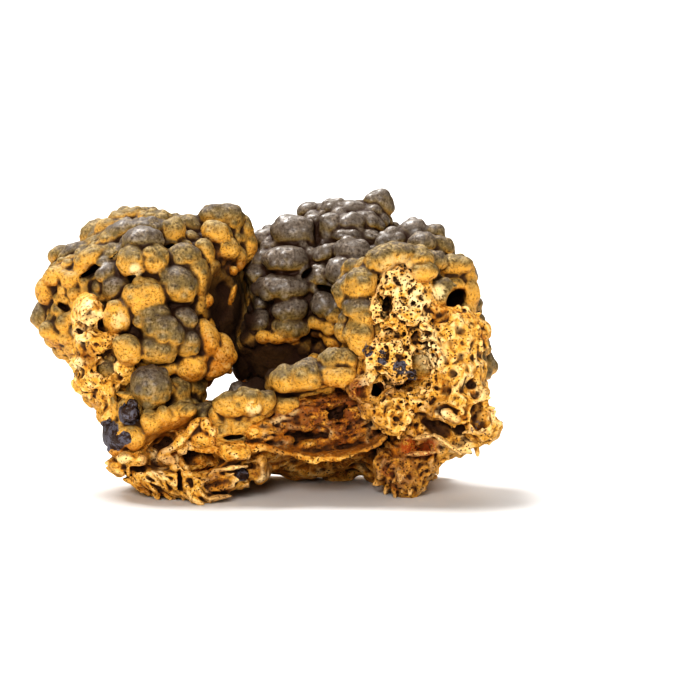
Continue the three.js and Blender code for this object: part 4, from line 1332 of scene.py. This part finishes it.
class SpecimenLook(bpy.types.PropertyGroup):
    """Colours of the crust and the matrix"""

    grey: FloatVectorProperty(
        name="Grey crust", description="Lobes of the rear mass", subtype="COLOR",
        default=(0.112, 0.086, 0.063),
    )
    # Pale ash on the grey lobes: partly dust, partly painted highlight
    ash_and_highlight: FloatVectorProperty(
        name="Ash", description="Pale dust on the grey lobes", subtype="COLOR", default=(0.42, 0.33, 0.25)
    )
    olive: FloatVectorProperty(
        name="Olive crust", description="Lobes that are neither grey nor ochre", subtype="COLOR",
        default=(0.19, 0.13, 0.04),
    )
    ochre: FloatVectorProperty(
        name="Ochre", description="Lobes and matrix where they are ochre", subtype="COLOR",
        default=(0.7, 0.37, 0.06),
    )
    # Orange is the tint of the warmest lobes; it is also painted under the lobes and in the matrix's hollows
    # as shade
    orange: FloatVectorProperty(
        name="Orange", description="The warmest places", subtype="COLOR", default=(0.5, 0.2, 0.016)
    )
    dust: FloatVectorProperty(
        name="Dust", description="Pale dust on the lobes' tops", subtype="COLOR", default=(0.56, 0.4, 0.17)
    )
    # Painted shade: this dark brown is painted into crevices, nooks and walls in shade; it is also the colour
    # of dark grains and of slate stone
    crevice: FloatVectorProperty(
        name="Crevice", description="Between the lobes", subtype="COLOR", default=(0.03, 0.01, 0.0025)
    )
    pale: FloatVectorProperty(
        name="Pale matrix", description="Fresh edges of the broken matrix", subtype="COLOR",
        default=(0.92, 0.59, 0.23),
    )
    cream: FloatVectorProperty(
        name="Cream", description="The palest broken patches", subtype="COLOR", default=(0.95, 0.76, 0.42)
    )
    # This dark brown is also painted into the matrix's pits, nooks and deep hollows as shade
    pore: FloatVectorProperty(
        name="Pore", description="Inside the matrix's pores", subtype="COLOR", default=(0.04, 0.014, 0.004)
    )
    rust: FloatVectorProperty(
        name="Rust", description="Rusty patches of the matrix", subtype="COLOR", default=(0.15, 0.035, 0.006)
    )
    red: FloatVectorProperty(
        name="Red", description="The reddest patches of the matrix", subtype="COLOR",
        default=(0.36, 0.08, 0.009),
    )
    slate: FloatVectorProperty(
        name="Slate", description="Slate-grey grains", subtype="COLOR", default=(0.12, 0.11, 0.13)
    )


class SpecimenStage(bpy.types.PropertyGroup):
    """The table, the lights and the camera"""

    floor: FloatVectorProperty(
        name="Table", description="Colour of the table", subtype="COLOR", default=(0.74, 0.735, 0.73)
    )
    key: FloatProperty(name="Key light", description="Strength from the upper left", default=3.75)
    back: FloatProperty(name="Back light", description="Strength from above the back", default=0.9)
    front: FloatProperty(name="Front light", description="Strength from the front", default=2.4)
    side: FloatProperty(name="Side light", description="Strength from the right", default=0.5)
    sky: FloatProperty(name="Sky", description="Strength of the even light all round", default=0.1)
    glow: FloatVectorProperty(
        name="Sky colour", description="Colour of the even light", subtype="COLOR", default=(1.0, 0.86, 0.72)
    )


class SPECIMEN_OT_stage(bpy.types.Operator):
    """Table, lights and camera"""

    bl_idname = "specimen.stage"
    bl_label = "Stage"

    def execute(self, context):
        look = context.scene.specimen_stage
        paint = Paint("table")
        colour = paint.mix(paint.noise(60.0) * 0.2, opaque(look.floor), (0.8, 0.8, 0.8, 1.0))
        material = paint.finish(colour, 0.6, paint.relief(paint.noise(2.0), 0.01), 0.2)
        corners = [(TABLE_HALF * x, TABLE_HALF * y, 0) for x, y in ((-1, -1), (1, -1), (1, 1), (-1, 1))]
        mesh = bpy.data.meshes.new("table")
        mesh.from_pydata(corners, [], [(0, 1, 2, 3)])
        mesh.materials.append(material)
        table = bpy.data.objects.new("table", mesh)
        context.scene.collection.objects.link(table)

        for name, (place, spread) in LIGHTS.items():
            self.light(context, name, Vector(place), spread, getattr(look, name))

        world = bpy.data.worlds.new("sky")
        world.use_nodes = True
        tree = world.node_tree
        sky = tree.nodes["Background"]
        sky.inputs["Color"].default_value = opaque(look.glow)
        sky.inputs["Strength"].default_value = look.sky
        white = tree.nodes.new("ShaderNodeBackground")
        white.inputs["Color"].default_value = (1, 1, 1, 1)
        either = tree.nodes.new("ShaderNodeMixShader")
        tree.links.new(tree.nodes.new("ShaderNodeLightPath").outputs["Is Camera Ray"], either.inputs[0])
        tree.links.new(sky.outputs[0], either.inputs[1])
        tree.links.new(white.outputs[0], either.inputs[2])
        tree.links.new(either.outputs[0], tree.nodes["World Output"].inputs["Surface"])
        context.scene.world = world

        aim = Vector((EYE_ACROSS - BOX_CENTRE_X, -BOX_CENTRE_Y, EYE_LINE_HEIGHT)) * MM
        back = Vector((0, -math.cos(EYE_ELEVATION), math.sin(EYE_ELEVATION)))
        camera = bpy.data.objects.new("camera", bpy.data.cameras.new("camera"))
        camera.data.sensor_width = SENSOR
        camera.data.lens = SENSOR * EYE_DISTANCE / VIEW_WIDTH
        camera.data.clip_start = 0.01
        camera.location = aim + back * EYE_DISTANCE * MM
        camera.rotation_euler = (-back).to_track_quat("-Z", "Y").to_euler()
        context.scene.collection.objects.link(camera)
        context.scene.camera = camera
        context.scene.view_settings.view_transform = "Standard"
        context.scene.view_settings.look = "High Contrast"
        return {"FINISHED"}

    @staticmethod
    def light(context, name, place, spread, strength):
        """A distant light that shines from its place to the middle of the table"""
        lamp = bpy.data.lights.new(name, "SUN")
        lamp.angle = math.radians(spread)
        lamp.energy = strength
        made = bpy.data.objects.new(name, lamp)
        made.location = place
        made.rotation_euler = (-place).to_track_quat("-Z", "Y").to_euler()
        context.scene.collection.objects.link(made)


class SPECIMEN_OT_left_crust(bpy.types.Operator):
    """The tall left mass with its olive and ochre lobes"""

    bl_idname = "specimen.left_crust"
    bl_label = "Left crust"

    def execute(self, context):
        crust, _ = finishes()
        masses = [*LEFT_MASS, *LEFT_FLANK]
        lobes = [
            *hidden_lobes_on(masses, [*NECK, *UNDERSIDE], 0.5),
            *lobes_on(masses, LEFT_LOBES),
        ]
        clay = crust_clay(masses, lobes, also=[*BROKEN_LEFT_EDGE, *NOSE, *NECK, *UNDERSIDE])
        hollow(clay)
        for form, tint in lobes_on(masses, WALL_LOBES):
            clay.add(form, 0.25, tint)
        for form in BEADS:
            clay.add(form, 0.3, 1.2)
        make_piece("left_crust", clay, crust)
        return {"FINISHED"}


class SPECIMEN_OT_rear_crust(bpy.types.Operator):
    """The dark rear mass and the right shoulder"""

    bl_idname = "specimen.rear_crust"
    bl_label = "Rear crust"

    def execute(self, context):
        crust, _ = finishes()
        masses = [*REAR_MASS, *RIGHT_SHOULDER]
        lobes = [
            *hidden_lobes_on(masses, [*NECK, *UNDERSIDE], 0.25),
            *lobes_on(REAR_MASS, REAR_LOBES),
            *lobes_on(RIGHT_SHOULDER, SHOULDER_LOBES),
        ]
        clay = crust_clay(masses, lobes, 0.3, also=[*SPONGY_FACE, *UNDERSIDE])
        hollow(clay)
        clay.carve(SHADED_WALLS[1], HOLLOW_BLEND)
        make_piece("rear_crust", clay, crust)
        return {"FINISHED"}


class SPECIMEN_OT_rim(bpy.types.Operator):
    """The low rim and the neck that carries the left mass"""

    bl_idname = "specimen.rim"
    bl_label = "Rim"

    def execute(self, context):
        crust, _ = finishes()
        masses = [*RIM, *NECK[:3], NECK_VEIL]
        lobes = [*lobes_on(NECK, NECK_LOBES), *lobes_on([*RIM, *NECK], RIM_LOBES)]
        clay = crust_clay(masses, lobes, 0.5, also=[*UNDERSIDE, *LOWER_LEFT, *SPONGY_FACE, *NECK[3:]])
        hollow(clay)
        make_piece("rim", clay, crust)
        return {"FINISHED"}


class SPECIMEN_OT_spongy_face(bpy.types.Operator):
    """The broken spongy face and foot on the right"""

    bl_idname = "specimen.spongy_face"
    bl_label = "Spongy face"

    def execute(self, context):
        _, matrix = finishes()
        clay = crag_clay([*SPONGY_FACE, *RIGHT_FOOT], PORE_CELL, 0.12)
        clay.break_off(-9.6, 0.9, 61)
        add_flakes(clay, FLAKY_FACE, 62)
        scoop(clay, (0.9, 2.0), 0.14, 0.55, 42)
        hollow(clay)
        add_forms(clay, RIGHT_STRANDS, 0.3)
        clay.distance += 0.14 * clay.cloud(0.42, 27) - 0.34 * np.abs(clay.cloud(0.8, 24)) + 0.14
        riddle(clay, 0.44, 0.8, 0.0, 41, SPONGY_ZONE)
        riddle(clay, 0.6, 0.5, 0.7, 45)
        make_piece("spongy_face", clay, matrix)
        return {"FINISHED"}


class SPECIMEN_OT_face_rim(bpy.types.Operator):
    """The smooth crust round the spongy face"""

    bl_idname = "specimen.face_rim"
    bl_label = "Face rim"

    def execute(self, context):
        crust, _ = finishes()
        clay = crust_clay(FACE_RIM, lobes_on(FACE_RIM, FACE_LOBES), also=SPONGY_FACE)
        hollow(clay, but=(2,))
        make_piece("face_rim", clay, crust)
        return {"FINISHED"}


class SPECIMEN_OT_broken_edge(bpy.types.Operator):
    """The broken left edge with its flakes"""

    bl_idname = "specimen.broken_edge"
    bl_label = "Broken edge"

    def execute(self, context):
        _, matrix = finishes()
        clay = crag_clay(BROKEN_LEFT_EDGE, SPONGE_CELL, 0.25)
        add_flakes(clay, FLAKY_EDGE, 63)
        hollow(clay)
        scoop(clay, (0.8, 1.8), 0.15, 0.6, 43)
        clay.distance += 0.12 * clay.cloud(0.45, 28) - 0.34 * np.abs(clay.cloud(0.85, 25)) + 0.14
        riddle(clay, 0.6, 0.6, 0.55, 44)
        make_piece("broken_edge", clay, matrix)
        return {"FINISHED"}


class SPECIMEN_OT_nose(bpy.types.Operator):
    """The smooth nose at the lower left with the ball in its socket"""

    bl_idname = "specimen.nose"
    bl_label = "Nose"

    def execute(self, context):
        crust, _ = finishes()
        clay = Clay(NOSE, SPONGE_CELL)
        for form in NOSE:
            clay.add(form, FORM_BLEND, 0.75)
        for form, tint in lobes_on(NOSE, NOSE_LUMPS):
            clay.add(form, 0.5, tint)
        rough = 0.2 * clay.cloud((0.9, 2.2, 2.2), 71) + 0.1 * clay.cloud(0.8, 72)
        clay.distance += rough + 0.08 * clay.cloud(0.45, 73)
        hollow(clay)
        clay.carve(SOCKET, 0.15)
        for form in BALLS:
            clay.add(form, 0.05, 0.3)
        make_piece("nose", clay, crust)
        return {"FINISHED"}


class SPECIMEN_OT_left_foot(bpy.types.Operator):
    """The flaky foot at the lower left"""

    bl_idname = "specimen.left_foot"
    bl_label = "Left foot"

    def execute(self, context):
        _, matrix = finishes()
        clay = crag_clay(LOWER_LEFT[2:], SPONGE_CELL, 0.25)
        scoop(clay, (0.8, 1.8), 0.15, 0.6, 46)
        add_flakes(clay, FLAKY_FOOT, 47)
        hollow(clay)
        add_forms(clay, LEFT_STRANDS, 0.3)
        clay.distance += 0.12 * clay.cloud(0.45, 29) - 0.2 * np.abs(clay.cloud(0.85, 26)) + 0.08
        make_piece("left_foot", clay, matrix)
        return {"FINISHED"}


class SPECIMEN_OT_base(bpy.types.Operator):
    """The base, the cave's walls and the ledge"""

    bl_idname = "specimen.base"
    bl_label = "Base"

    def execute(self, context):
        _, matrix = finishes()
        lobes = hidden_lobes_on(UNDERSIDE, [*LEFT_FLANK, *REAR_MASS, *RIGHT_SHOULDER], 0.5)
        clay = Clay([*UNDERSIDE, *[form for form, _ in lobes]], CRUST_CELL)
        for form in [*UNDERSIDE, *NECK[3:]]:
            clay.add(form, FORM_BLEND, 0.35)
        for form, tint in lobes:
            clay.add(form, 0.4, tint)
        clay.distance += 0.4 * clay.cloud(3.0, 51) + 0.45 * clay.cloud((3.5, 0.8, 3.5), 52)
        hollow(clay)
        scoop(clay, (0.8, 1.8), 0.16, 0.6, 49)
        add_flakes(clay, FLAKY_WALL, 64, 0.35)
        add_ledge(clay)
        clay.distance += 0.14 * clay.cloud(0.5, 54) - 0.4 * np.abs(clay.cloud((1.3, 0.7, 1.3), 53)) + 0.16
        make_piece("base", clay, matrix)
        return {"FINISHED"}


class SPECIMEN_PT_panel(bpy.types.Panel):
    """The specimen's pieces, colours and lights"""

    bl_idname = "SPECIMEN_PT_panel"
    bl_label = "Specimen"
    bl_space_type = "VIEW_3D"
    bl_region_type = "UI"
    bl_category = "Specimen"

    def draw(self, context):
        for operator in OPERATORS:
            self.layout.operator(operator.bl_idname)
        for name in SpecimenLook.__annotations__:
            self.layout.prop(context.scene.specimen_look, name)
        for name in SpecimenStage.__annotations__:
            self.layout.prop(context.scene.specimen_stage, name)


OPERATORS = (
    SPECIMEN_OT_stage,
    SPECIMEN_OT_left_crust,
    SPECIMEN_OT_rear_crust,
    SPECIMEN_OT_rim,
    SPECIMEN_OT_spongy_face,
    SPECIMEN_OT_face_rim,
    SPECIMEN_OT_broken_edge,
    SPECIMEN_OT_nose,
    SPECIMEN_OT_left_foot,
    SPECIMEN_OT_base,
)
CLASSES = (SpecimenLook, SpecimenStage, *OPERATORS, SPECIMEN_PT_panel)


def register():
    for made in CLASSES:
        bpy.utils.register_class(made)
    bpy.types.Scene.specimen_look = PointerProperty(type=SpecimenLook)
    bpy.types.Scene.specimen_stage = PointerProperty(type=SpecimenStage)


def unregister():
    del bpy.types.Scene.specimen_stage
    del bpy.types.Scene.specimen_look
    for made in reversed(CLASSES):
        bpy.utils.unregister_class(made)


def main():
    register()
    bpy.ops.specimen.stage()
    bpy.ops.specimen.left_crust()
    bpy.ops.specimen.rear_crust()
    bpy.ops.specimen.rim()
    bpy.ops.specimen.spongy_face()
    bpy.ops.specimen.face_rim()
    bpy.ops.specimen.broken_edge()
    bpy.ops.specimen.nose()
    bpy.ops.specimen.left_foot()
    bpy.ops.specimen.base()


if __name__ == "__main__":
    main()
